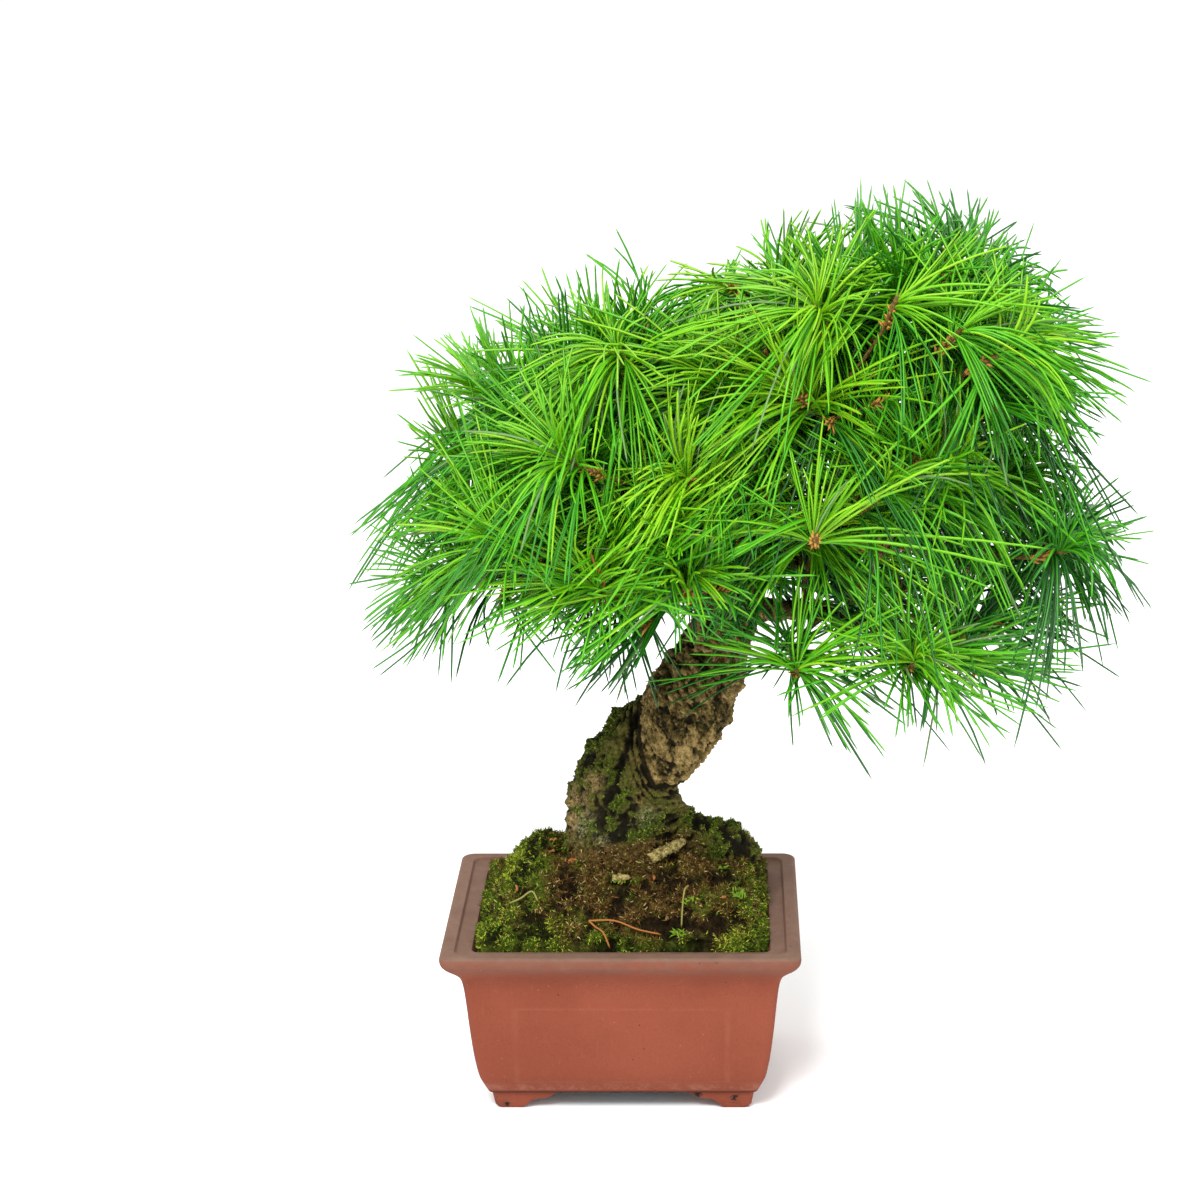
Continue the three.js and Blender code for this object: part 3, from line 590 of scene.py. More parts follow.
def clay_material():
    """Unglazed red clay: even, finely pitted and specked, with a greyer, worn rim."""
    s = Shader("clay", 0.8, 0.2)
    grain = s.noise(0.8, 4, 0.65)
    body = s.mix(s.between(s.noise(34, 4, 0.5), 0.3, 0.7), (147, 74, 51), (157, 81, 58))
    body = s.over(body, (122, 58, 40), s.between(grain, 0.4, 0.72), 0.35)
    # The frame line: how far out from the frame's middle, with 1 on the line.
    aside = s.math("ABSOLUTE", s.math("SUBTRACT", s.position("X"), float(RIM_MIDDLE[0])))
    level = s.math("ABSOLUTE", s.math("SUBTRACT", s.position("Z"), PANEL_MIDDLE * MM))
    panel = s.math(
        "MAXIMUM",
        s.math("DIVIDE", aside, PANEL_HALF_WIDTH * MM),
        s.math("DIVIDE", level, PANEL_HALF_HEIGHT * MM),
    )
    on_long_side = s.between(s.math("ABSOLUTE", s.facing("Y")), 0.5, 0.8)
    broken = s.between(s.noise(12, 4, 0.6), 0.3, 0.6)
    line = s.times(s.between(panel, 0.95, 0.99), s.between(panel, 1.04, 1.0))
    body = s.over(body, (184, 122, 98), line, on_long_side, broken, 0.12)
    # Streaks, the dusty rim and its worn top.
    streak = s.noise(7, 4, 0.6, stretch=[0.2, 0.2, 6])
    body = s.over(body, (178, 112, 90), s.between(streak, 0.6, 0.8), 0.3)
    rim = s.mix(s.noise(5, 5, 0.7), (118, 76, 60), (150, 104, 86))
    ragged = s.between(s.noise(11, 5, 0.7), 0.15, 0.55)
    body = s.over(body, rim, s.level(POT_HEIGHT - 13, POT_HEIGHT - 4), ragged, 0.8)
    worn = s.mix(s.noise(8, 6, 0.7), (110, 78, 64), (156, 124, 106))
    top = s.between(s.facing("Z"), 0.2, 0.8)
    body = s.over(body, worn, top, s.level(POT_HEIGHT - 12, POT_HEIGHT - 7), 0.95)
    # Pale specks and dark dots.
    chosen = s.between(s.noise(9, 3), 0.56, 0.66)
    body = s.over(body, (206, 176, 160), s.between(s.cells(2.2), 0.12, 0.06), chosen, 0.6)
    body = s.over(body, (60, 36, 30), s.between(s.cells(7.5), 0.07, 0.035), 0.7)
    # A painted shadow line where the body meets the feet, the scuffs above it and the grime below.
    body = s.over(body, (60, 30, 24), s.level(8.2, 9.6), s.level(11.4, 10), 0.8)
    scuffed = s.between(s.noise(5, 6, 0.75), 0.4, 0.66)
    body = s.over(body, (178, 124, 104), s.level(10.6, 12), s.level(17, 13), scuffed, 0.45)
    body = s.over(body, (84, 48, 38), s.level(9, 2), s.between(s.noise(7, 4), 0.42, 0.7), 0.45)
    for x, z, radius in STAINS:
        aside = s.math("SUBTRACT", s.position("X"), float(RIM_MIDDLE[0] + x * MM))
        level = s.math("SUBTRACT", s.position("Z"), z * MM)
        away = s.math("SQRT", s.math("ADD", s.times(aside, aside), s.times(level, level)))
        blot = s.times(s.noise(1.8, 5, 0.8, stretch=[2, 1, 1]), 4.0)
        stain = s.between(s.math("ADD", s.math("DIVIDE", away, radius * MM), blot), 2.7, 2.4)
        body = s.over(body, (26, 24, 20), stain, s.between(s.facing("Y"), -0.3, -0.7))
    s.colour(body)
    s.bump(s.math("ADD", s.times(grain, 0.5), s.noise(2.4, 4, 0.6)), 0.22, 0.7)
    return s.material


def bark_material():
    """Old bark: flaking tan plates on the pine, green moss and grey lichen on the rootstock."""
    s = Shader("bark", 0.88, 0.15)
    mottle = s.noise(1.3, 6, 0.75)
    fleck = s.noise(3.4, 5, 0.7)
    hollow = s.attribute("hollow")
    # The pine's tan plates, with darker chips and painted shade in their cracks. Their tint also carries
    # painted shade high on the pine, under the crown.
    plate = s.math("ADD", s.attribute("tint"), s.times(s.math("SUBTRACT", mottle, 0.5), 1.5))
    tan = s.ramp(
        plate, (0.1, 40, 34, 12), (0.38, 114, 96, 48), (0.6, 176, 148, 90), (0.92, 216, 184, 120),
    )
    tan = s.over(tan, (100, 98, 44), s.between(fleck, 0.52, 0.66), 0.6)
    chip = s.noise(1.0, 6, 0.8, stretch=[1, 1, 1.8])
    tan = s.over(tan, (44, 34, 16), s.between(chip, 0.5, 0.4), 0.6)
    tan = s.over(tan, (26, 21, 9), s.between(hollow, 0.25, 0.75), 0.92)
    # The rootstock's wood, pale on its folds, under moss and soil.
    old = s.ramp(
        mottle, (0.32, 36, 30, 12), (0.46, 88, 78, 34), (0.57, 128, 112, 56), (0.7, 188, 166, 106),
    )
    fold = s.mix(mottle, (84, 74, 30), (190, 166, 98))
    old = s.over(old, fold, s.attribute("fold"), 0.7)
    green = s.ramp(
        s.noise(1.7, 6, 0.8),
        (0.34, 18, 26, 6), (0.46, 50, 68, 12), (0.56, 92, 116, 22), (0.68, 152, 164, 52),
    )
    old = s.over(old, green, s.attribute("moss"), s.between(fleck, 0.3, 0.52))
    brown = s.ramp(
        mottle, (0.32, 34, 24, 8), (0.5, 90, 68, 30), (0.62, 130, 104, 54), (0.76, 180, 160, 100),
    )
    old = s.over(old, brown, s.attribute("soiled"))
    # Painted shade in the rootstock's dips, fold troughs and crevice, and round the pine's foot.
    old = s.over(old, (16, 13, 5), s.between(hollow, 0.2, 0.9), 0.94)
    base = s.mix(s.attribute("old_wood"), tan, old)
    # Bare wood and lichen over both.
    bare = s.ramp(
        s.noise(1.8, 6, 0.8),
        (0.34, 88, 78, 36), (0.47, 156, 134, 80), (0.58, 200, 172, 120), (0.68, 200, 138, 112),
    )
    base = s.over(base, bare, s.attribute("bare"), s.between(s.noise(2, 6, 0.8), 0.42, 0.52))
    lichen = s.mix(s.between(mottle, 0.36, 0.64), (84, 86, 48), (190, 188, 142))
    patchy = s.between(s.noise(1.4, 4, 0.7), 0.44, 0.56)
    s.colour(s.over(base, lichen, s.attribute("lichen"), patchy))
    s.bump(s.math("ADD", mottle, s.times(s.noise(0.8, 4, 0.7), 0.5)), 0.9)
    return s.material


def soil_material():
    """Brown fibrous soil under the moss, greener where moss grows, with painted shade in its hollows."""
    s = Shader("soil", 0.95, 0.1)
    brown = s.ramp(
        s.noise(1.8, 6, 0.75),
        (0.3, 34, 22, 8), (0.48, 84, 60, 28), (0.62, 132, 102, 56), (0.76, 190, 166, 112),
    )
    green = s.ramp(
        s.noise(2.2, 5, 0.75), (0.3, 36, 42, 8), (0.5, 84, 100, 24), (0.68, 144, 160, 52),
    )
    base = s.mix(s.attribute("moss"), brown, green)
    s.colour(s.over(base, (20, 15, 6), s.attribute("hollow"), 0.85))
    s.bump(s.noise(1.2, 5, 0.75), 1.0)
    return s.material


def plain_material(name, colour, roughness, specular):
    s = Shader(name, roughness, specular)
    s.colour(srgb(*colour))
    return s.material


def twig_material(name, *stops):
    s = Shader(name, 0.8, 0.2)
    rough = s.noise(1.6, 5, 0.7)
    s.colour(s.ramp(rough, *stops))
    s.bump(rough, 0.5, 0.8)
    return s.material


def floor_material():
    s = Shader("floor", 0.9, 0.1)
    s.colour((0.94, 0.94, 0.94, 1))
    return s.material


CLAY = clay_material()
BARK = bark_material()
SOIL = soil_material()
TWIG = twig_material("twig", (0.3, 62, 46, 20), (0.5, 118, 90, 42), (0.7, 166, 136, 76))
STUB = twig_material("root_stub", (0.36, 64, 58, 26), (0.48, 150, 132, 70), (0.6, 214, 192, 128))
SCALE = plain_material("bud_scale", (214, 152, 70), 0.6, 0.3)
DRY = plain_material("dry", (180, 112, 50), 0.6, 0.3)
WITHERED = plain_material("withered", (170, 116, 96), 0.7, 0.2)
PALE = plain_material("pale_stem", (150, 146, 74), 0.6, 0.3)
SPROUT = plain_material("sprout", (124, 164, 30), 0.6, 0.3)


# The pot: a lofted shell with rounded corners, standing on a ring cut into four bracket feet.
OUTER_SECTION = [
    [19, FLOOR_UNDERSIDE], [16.8, 14.6], [15.2, 18.6], [13.5, 28], [12, 41], [10.2, 62],
    [9.2, 68.5], [7.9, 71.6], [5.4, 74.4], [2.3, 77.2], [0.5, 79.8], [0, 82.4], [0.3, 84],
    [1.6, POT_HEIGHT],
]
INNER_SECTION = [
    [RIM_BEAD - 1.2, POT_HEIGHT], [RIM_BEAD, POT_HEIGHT - RIM_STEP],
    [RIM_WIDTH, POT_HEIGHT - RIM_STEP - 1], [RIM_WIDTH + 0.8, 60], [19, 30], [22, FLOOR_TOP],
]
CORNER_STEPS = 8
FOOT_SECTION = [[22.9, 0], [21.7, 1.8], [20.2, FLOOR_UNDERSIDE + 0.6]]
FOOT_BAND = 30.9
# One side of the arch between two feet, from the pot's floor down, and half the gap at its top
# between the feet across the long sides and across the short ones.
ARCH_SIDE = [
    [0, FLOOR_UNDERSIDE], [2.2, 8.2], [5.7, 5.9], [10.8, 5.3], [13.7, 3.9], [16, 1.6], [17.6, -1],
]
LONG_HALF_GAP = 28.9
SHORT_HALF_GAP = 9.5


def rounded_ring(inset, height, side_points=0):
    """A rounded rectangle about the pot's middle. Its height is above the ground."""
    radius = max(RIM_CORNER - inset * 0.12, 2.5)
    half_x = POT_WIDTH / 2 - inset - radius
    half_y = POT_DEPTH / 2 - inset - radius
    ring = []
    for sign_x, sign_y, start in ((1, 1, 0), (-1, 1, 90), (-1, -1, 180), (1, -1, 270)):
        for i in range(CORNER_STEPS + 1):
            turn = math.radians(start + 90 * i / CORNER_STEPS)
            ring.append([
                sign_x * half_x + math.cos(turn) * radius,
                sign_y * half_y + math.sin(turn) * radius,
                height - POT_HEIGHT,
            ])
    full = []
    for i, point in enumerate(ring):
        full.append(point)
        if (i + 1) % (CORNER_STEPS + 1) == 0:
            following = ring[(i + 1) % len(ring)]
            for k in range(1, side_points + 1):
                share = k / (side_points + 1)
                full.append([a + (b - a) * share for a, b in zip(point, following)])
    return np.array(full)


def softened(section, passes):
    """The section with its bends rounded by cutting corners."""
    points = [np.array(point, float) for point in section]
    for _ in range(passes):
        cut = [points[0]]
        for a, b in zip(points, points[1:]):
            cut += [a * 0.78 + b * 0.22, a * 0.22 + b * 0.78]
        points = [*cut, points[-1]]
    return points


def with_modifier(piece, kind, **settings):
    """Applies one modifier to the piece's mesh."""
    modifier = piece.modifiers.new(kind.lower(), kind)
    for name, value in settings.items():
        setattr(modifier, name, value)
    depsgraph = bpy.context.evaluated_depsgraph_get()
    mesh = bpy.data.meshes.new_from_object(piece.evaluated_get(depsgraph))
    piece.modifiers.remove(modifier)
    piece.data = mesh


def join(pieces):
    """Joins the later pieces into the first."""
    with bpy.context.temp_override(
        active_object=pieces[0], selected_editable_objects=pieces, selected_objects=pieces,
    ):
        bpy.ops.object.join()
    return pieces[0]


def box_piece(size_x, size_y, bottom, top):
    corners = [[-1, -1], [1, -1], [1, 1], [-1, 1]]
    rings = [
        np.array([[x * size_x / 2, y * size_y / 2, level - POT_HEIGHT] for x, y in corners])
        for level in (bottom, top)
    ]
    return mesh_object("cutter", *loft(rings), CLAY)


def arch_piece(half_gap, length, turned):
    """The space between two bracket feet: an arch whose sides swing in under the brackets."""
    side = softened(ARCH_SIDE, 2)
    outline = [[-half_gap - x, z] for x, z in reversed(side)]
    outline += [[half_gap + x, z] for x, z in side]
    rings = []
    for end in (-length / 2, length / 2):
        flat = [[x, end, z - POT_HEIGHT] for x, z in outline]
        rings.append(np.array([[-y, x, z] for x, y, z in flat] if turned else flat))
    return mesh_object("cutter", *loft(rings), CLAY)


def make_pot():
    section = [*softened(OUTER_SECTION, 2), *softened(INNER_SECTION, 1)]
    shell = mesh_object("clay_pot", *loft([rounded_ring(*level) for level in section]), CLAY)
    feet = mesh_object("feet", *loft([rounded_ring(*level) for level in FOOT_SECTION]), CLAY)
    cutters = [
        box_piece(POT_WIDTH - 2 * FOOT_BAND, POT_DEPTH - 2 * FOOT_BAND, -2, FLOOR_UNDERSIDE),
        arch_piece(LONG_HALF_GAP, POT_DEPTH, False),
        arch_piece(SHORT_HALF_GAP, POT_WIDTH, True),
    ]
    for cutter in cutters:
        with_modifier(feet, "BOOLEAN", operation="DIFFERENCE", solver="EXACT", object=cutter)
        bpy.data.objects.remove(cutter)
    for piece in (shell, feet):
        with_modifier(piece, "BEVEL", width=0.5 * MM, segments=2, limit_method="ANGLE",
                      angle_limit=math.radians(34), harden_normals=False)
    join([shell, feet])
    shell.data.shade_smooth()
    with_modifier(shell, "WEIGHTED_NORMAL", keep_sharp=False)
    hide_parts("pot")
    return shell


# Bark. Tubes are fused by a fine remesh, then every point is pushed in or out by the relief.
def clouds(points, size, octaves=4, offset=0):
    """Fractal noise at each point, about -1 to 1, with features of that size in millimetres."""
    found = np.empty(len(points))
    for i, point in enumerate(points + offset):
        total = 0.0
        weight = 1.0
        place = Vector(point) / size
        for _ in range(octaves):
            total += noise.noise(place) * weight
            place = place * 2.1
            weight *= 0.55
        found[i] = total
    return found


def plates(points, size, grain, stretch):
    """The plates that bark splits into, drawn out along grain: for each point, how wide the
    plate is open there (0 in a crack), its plate's own tint, and the lie of its tilted top."""
    found = np.empty((len(points), 3))
    for i, point in enumerate(points):
        place = Vector(point)
        place = place + noise.noise_vector(place / (size * 1.2)) * size * 0.6
        place = drawn_out(place, grain, stretch) / size
        distances, cells = noise.voronoi(place)
        tilt = (place - cells[0]).dot(noise.noise_vector(cells[0] * 5.7))
        found[i] = distances[1] - distances[0], noise.noise(cells[0] * 3.3), tilt
    return found.T


def drawn_out(point, grain, stretch):
    point, grain = Vector(point), Vector(grain).normalized()
    return point - grain * point.dot(grain) * (1 - 1 / stretch)


def crack_at(opening, width):
    return np.clip(1 - opening / width, 0, 1) ** 1.4


def limb_skin(name, curve, radius_at, steps, sides):
    """A tube along a curve, as thick at each share of it as radius_at says."""
    path = np.array(sampled(curve, steps))
    along = units(np.gradient(path, axis=0))
    side = np.array([1.0, 0.0, 0.0] if abs(along[0][1]) > 0.8 else [0.0, 1.0, 0.0])
    turns = turns_round(sides)
    rings = []
    for centre, direction, radius in zip(path, along, sampled(radius_at, steps)):
        side = unit(side - direction * np.dot(side, direction))
        across = np.cross(direction, side)
        ring = np.outer(np.cos(turns), side) + np.outer(np.sin(turns), across)
        rings.append(centre + radius * ring)
    return mesh_object(name, *loft(rings), BARK)


def points_of(piece):
    """The piece's points as millimetres about the rim's middle."""
    co = np.empty(len(piece.data.vertices) * 3)
    piece.data.vertices.foreach_get("co", co)
    return (co.reshape(-1, 3) - RIM_MIDDLE) / MM


def normals_of(piece):
    normals = np.empty(len(piece.data.vertices) * 3)
    piece.data.vertex_normals.foreach_get("vector", normals)
    return normals.reshape(-1, 3)


def put_points(piece, points):
    piece.data.vertices.foreach_set("co", to_frame(points).ravel())
    piece.data.update()


def paint(piece, **layers):
    """A value at each point for every layer, which the shaders read by its name."""
    for name, values in layers.items():
        layer = piece.data.attributes.new(name, "FLOAT", "POINT")
        layer.data.foreach_set("value", np.asarray(values, np.float32))


def values_of(piece, name):
    values = np.empty(len(piece.data.vertices), np.float32)
    piece.data.attributes[name].data.foreach_get("value", values)
    return values


def distance_to_path(points, path, radii):
    """Distance from each point to the nearest ball strung along the path, less its radius."""
    best = np.full(len(points), 1e9)
    for centre, radius in zip(path, radii):
        best = np.minimum(best, np.linalg.norm(points - centre, axis=1) - radius)
    return best


def smooth_between(values, low, high):
    share = np.clip((values - low) / (high - low), 0, 1)
    return share * share * (3 - 2 * share)


PINE_GRAIN = [0.5, -0.2, -0.8]
UPRIGHT = [0, 0, 1]
CREVICE = [
    [6.5, -7, 95], [3, -15, 84], [-0.5, -18, 73], [-2.5, -20, 64], [-7.5, -21, 57], [-11, -21, 49],
]
# Bare wood and lichen: each a place and how far it reaches.
BARE_PLACES = [[-20, -11, 54, 8], [-21, -10, 46, 5], [-13, -16, 66, 4.5]]
LICHEN_PLACES = [
    [-15, -18, 49, 3.4], [11, -20, 52, 3.6], [-18, -17, 43, 4], [-9, -22, 40, 3],
    [30, -20, 36, 3], [20, -24, 30, 3],
]
# Where the wood swells beyond its tubes: a place, how far it reaches and how much.
SWELLS = [
    [[52, 0, 36], 9, 6], [[38, -4, 42], 8, 2.5], [[-22, -8, 40], 8, 2], [[21, -10, 60], 8, 6],
    [[24, -14, 55], 8, 5], [[26, -8, 50], 9, 8],
]
# The height where the pine's bulge ends and the rootstock's folds begin.
KNOB_BOTTOM = 64
BARK_VOXEL = 0.8
FOLD_SPACING = 2.6
CREVICE_WIDTH = 1.9
CREVICE_STEPS = 40
# The pine's stations for measuring, and the share of them for its thickness: every eighth. Its
# relief is at full height where it is this thick, and lower above.
SCION_STEPS = 200
COARSE_STEP = 8
FULL_RELIEF_RADIUS = 16


def near_places(points, places):
    total = sum(np.exp(-((points - place[:3]) ** 2).sum(1) / place[3] ** 2) for place in places)
    return np.clip(total * 1.5, 0, 1)


def root_skin(azimuth, reach, radius, leaves, end):
    """A root from inside the trunk, over its knee and into the mound."""
    start = np.array([0, 0, leaves], float)
    foot = np.array([0, 0, end]) + pointing(azimuth, 0) * reach
    knee = start + (foot - start) * 0.55 + np.array([0, 0, radius * 0.35])
    beyond = foot + unit(foot - knee) * radius * 0.5 - np.array([0, 0, radius * 0.5])
    curve = bent(start, knee, beyond)
    return limb_skin("root", curve, lambda share: radius * (1.15 - 0.45 * share), 23, 24)


def make_trunk():
    trunk = join([
        limb_skin("bark_trunk", rootstock_curve, rootstock_radius, 39, 40),
        limb_skin("scion", scion_curve, scion_radius, 89, 40),
        *[root_skin(*root) for root in ROOTS],
    ])
    with_modifier(trunk, "REMESH", mode="VOXEL", voxel_size=BARK_VOXEL * MM, use_smooth_shade=True)
    with_modifier(trunk, "SMOOTH", factor=0.6, iterations=8)
    points = points_of(trunk)
    normals = normals_of(trunk)
    height = points[:, 2]

    # How far each point is from the pine, how thick the pine is there, and where the wood is old.
    scion_path = np.array(sampled(scion_curve, SCION_STEPS))
    scion_radii = np.array(sampled(scion_radius, SCION_STEPS))
    to_scion = distance_to_path(points, scion_path, scion_radii)
    away = np.linalg.norm(points[:, None] - scion_path[None, ::COARSE_STEP], axis=2)
    nearest = np.argmin(away, axis=1) * COARSE_STEP
    scale = np.clip(scion_radii[nearest] / FULL_RELIEF_RADIUS, 0.2, 1)
    beyond = np.maximum(to_scion, 1.3 + 0.8 * (KNOB_BOTTOM - height))
    old = smooth_between(beyond, 0.6, 2.0)

    # The pine's relief: large and small plates, their cracks, and flakes along the grain.
    lump = clouds(points, 13, 3)
    rough = clouds(points, 3.6)
    flake = clouds(np.array([drawn_out(p, PINE_GRAIN, 4) for p in points]), 1.5, 3)
    wide, tint, tilt = plates(points, 6.5, PINE_GRAIN, 2.2)
    narrow, small_tint, small_tilt = plates(points, 2.5, PINE_GRAIN, 1.8)
    open_here = smooth_between(clouds(points, 7, 2, offset=150), -0.3, 0.3)
    crack = crack_at(wide, 0.22) * (0.3 + 0.7 * open_here)
    crack = np.maximum(crack, 0.7 * crack_at(narrow, 0.22) * (0.2 + 0.8 * open_here))
    pine = 1.4 * tint + 2.4 * tilt + 0.8 * small_tint + 1.2 * small_tilt
    pine += 0.7 * flake + 0.7 * rough + 0.8 * lump - 1.8 * crack

    # The rootstock's relief: lumps, knobs, folds round the pine's foot and a crevice beside it.
    fold_fade = np.clip(1.15 - beyond / 13, 0, 1) * smooth_between(height, 44, 56)
    folds = np.sin(beyond * 2 * math.pi / FOLD_SPACING + lump * 2.2 + rough * 1.1)
    knobs = crack_at(plates(points + 60, 6, UPRIGHT, 1.3)[0], 0.45)
    crevice_path = dense(CREVICE, CREVICE_STEPS)
    to_crevice = distance_to_path(points, crevice_path, np.zeros(len(crevice_path)))
    crevice = np.exp(-(to_crevice / CREVICE_WIDTH) ** 2)
    mossy = 2.6 * lump + 2.0 * rough - 1.8 * knobs * (1 - fold_fade)
    mossy = mossy + 0.9 * folds * fold_fade - 4 * crevice
    push = pine * scale * (1 - old) + mossy * old
    moved = points + normals * push[:, None]
    for place, reach, swell in SWELLS:
        near = np.exp(-((moved - place) ** 2).sum(1) / reach ** 2)[:, None]
        moved += normals * near * swell * np.clip(normals[:, 2:3] + 0.7, 0, 1) * old[:, None]
    put_points(trunk, moved)
    trunk.data.shade_smooth()

    # What the shader reads. The darkening of the hollows is painted shade: in the pine's cracks, in the
    # rootstock's dips, fold troughs and crevice, and in a band round the pine's foot.
    groove = np.clip(-folds, 0, 1) * fold_fade
    dips = smooth_between(-mossy, 0.0, 2.4)
    hollow = (1 - old) * np.clip(crack - 0.25 * flake - 0.35 * tint, 0, 1)
    hollow = hollow + old * np.clip(dips + groove * 0.8, 0, 1)
    seam_shade = np.exp(-((beyond - 1.0) / 0.85) ** 2) * smooth_between(-height, -104, -96)
    hollow = np.max([hollow, seam_shade, crevice], axis=0)
    soiled = smooth_between(-height + 5 * rough, -44, -36) * smooth_between(-points[:, 1], 4, 14)
    less_left = 0.4 + 0.6 * smooth_between(points[:, 0], -22, -10)
    soiled *= smooth_between(-points[:, 0], -44, -34) * less_left
    moss = 0.72 + clouds(points, 15, 3, offset=200) * 0.9 + normals[:, 2] * 0.35
    moss = np.clip(moss - 0.8 * fold_fade * (points[:, 0] > -4), 0, 1) * (1 - 0.8 * soiled)
    worn = smooth_between(clouds(points, 5, 3, offset=260), -0.5, 0.0)
    bare = near_places(points, BARE_PLACES) * (1 - soiled) * worn
    # Painted shade under the crown: the pine's tint is darker above this height.
    painted_crown_shade = 0.1 * smooth_between(height, 84, 108)
    paint(
        trunk,
        old_wood=old,
        tint=0.5 + 0.4 * tint + 0.3 * small_tint + 0.35 * flake - painted_crown_shade,
        soiled=soiled,
        hollow=hollow,
        fold=np.clip(folds, 0, 1) * fold_fade * old,
        moss=moss * old * (1 - 0.9 * bare) * (1 - 0.7 * hollow),
        bare=bare * old,
        lichen=near_places(points, LICHEN_PLACES),
    )
    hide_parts("trunk")
    return trunk


def bough_skin(name, radius):

    def taper(share):
        flare = 0.9 * radius * max(0, 0.1 - share)
        return radius * (1 - (1 - BOUGH_TIP_SHARE) * share) + flare

    return limb_skin("bark_boughs", limb_curves[name], taper, 59, 18)


def make_boughs():
    boughs = join([bough_skin(name, radius) for name, (_, _, radius, _) in BOUGHS.items()])
    points = points_of(boughs)
    normals = normals_of(boughs)
    rough = clouds(points, 3.4)
    lump = clouds(points, 11, 2, offset=30)
    opening, tint, _ = plates(points, 4, UPRIGHT, 1.3)
    crack = crack_at(opening, 0.3)
    push = 0.6 * rough + 0.9 * lump + 0.5 * tint - 0.6 * crack
    put_points(boughs, points + normals * push[:, None])
    boughs.data.shade_smooth()
    # The darkening in the boughs' cracks and low spots is painted shade.
    paint(boughs, tint=0.45 + 0.5 * tint, hollow=np.clip(crack * 0.8 - rough * 0.5, 0, 1))
    clean = np.zeros(len(points))
    paint(boughs, old_wood=clean, fold=clean, moss=clean, bare=clean, lichen=clean, soiled=clean)
    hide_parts(*LIMB_NODES)
    return boughs


# Foliage. The tufts of each mass are the source's own, and each carries finer twigs.
def grow_tufts():
    tufts = []
    for index, (limb, along, place, direction, side_tufts) in enumerate(MASSES.values()):
        random = seeded(1000 + index * 17)
        axis = pointing(*direction)
        lead = tuft_on(limb_curves[limb](along), np.array(place, float), axis, "lead")
        tufts.append(lead)
        first_turn = random() * 2 * math.pi
        for k in range(side_tufts):
            turn = first_turn + k / side_tufts * 2 * math.pi + (random() - 0.5) * 0.6
            side_axis = leaning(axis, turn, math.radians(52 + random() * 20))
            start = lead["curve"](0.5 + random() * 0.2)
            reach = SIDE_TUFT_REACH * (0.85 + random() * 0.3)
            tufts.append(tuft_on(start, start + side_axis * reach, side_axis, "side"))
    for index, tuft in enumerate(list(tufts)):
        random = seeded(9000 + index * 13)
        tufts.append(twig_off(tuft["curve"], tuft["axis"], random, 0.35, FINE_REACH, "fine"))
    for index, name in enumerate(BOUGHS):
        random = seeded(12000 + index * 31)
        curve = limb_curves[name]
        for k in range(SPURS_A_BOUGH):
            along = 0.35 + 0.6 * k / (SPURS_A_BOUGH - 1)
            axis = unit(curve(along) - curve(along - 0.1))
            tufts.append(twig_off(curve, axis, random, along - 0.1, SPUR_REACH, "spur"))
    starts = np.array([tuft["curve"](0.5) for tuft in tufts if tuft["kind"] == "lead"])
    for place, direction in STARS:
        bud = np.array(place, float)
        axis = pointing(*direction)
        behind = bud - axis * STAR_STEM
        start = starts[np.argmin(np.linalg.norm(starts - behind, axis=1))]
        tufts.append(tuft_on(start, bud, axis, "star"))
    return [
        tuft for tuft in tufts
        if tuft["kind"] in SHOWY_KINDS or crown_room(tuft["bud"][None])[0] > LEAST_ROOM
    ]


def twig_off(curve, axis, random, along, reach, kind):
    """A short twig that leans off a curve, with a tuft at its end."""
    turn = random() * 2 * math.pi
    way = leaning(axis, turn, math.radians(44 + random() * 24))
    start = curve(along + random() * 0.2)
    return tuft_on(start, start + way * reach * (0.8 + random() * 0.5), way, kind)


def tuft_on(start, bud, axis, kind):
    control = bud - axis * 0.5 * np.linalg.norm(bud - start)
    return {"curve": bent(start, control, bud), "bud": bud, "axis": axis, "kind": kind}


def crown_depth(points):
    """How deep in the crown's lobes a point lies: 0 at their skin, towards 1 inside."""
    depth = np.full(len(points), -9.0)
    for middle, half in CROWN_LOBES:
        depth = np.maximum(depth, 1 - np.linalg.norm((points - middle) / np.array(half), axis=1))
    return depth


def crown_room(points):
    """About how many millimetres inside the crown's outline a point lies, below 0 outside it."""
    x, height = points[:, 0], points[:, 2]
    above = np.interp(x, *np.transpose(CROWN_TOP)) - height
    below = height - np.interp(x, *np.transpose(CROWN_UNDERSIDE))
    left = x - np.interp(height, *np.transpose(CROWN_LEFT))
    right = np.interp(height, *np.transpose(CROWN_RIGHT)) - x
    near = np.interp(height, *np.transpose(CROWN_HALF_DEPTH)) - np.abs(points[:, 1] - CROWN_MIDDLE_Y)
    return np.min([above, below, left, right, near, crown_depth(points) * 90 + 3], axis=0)


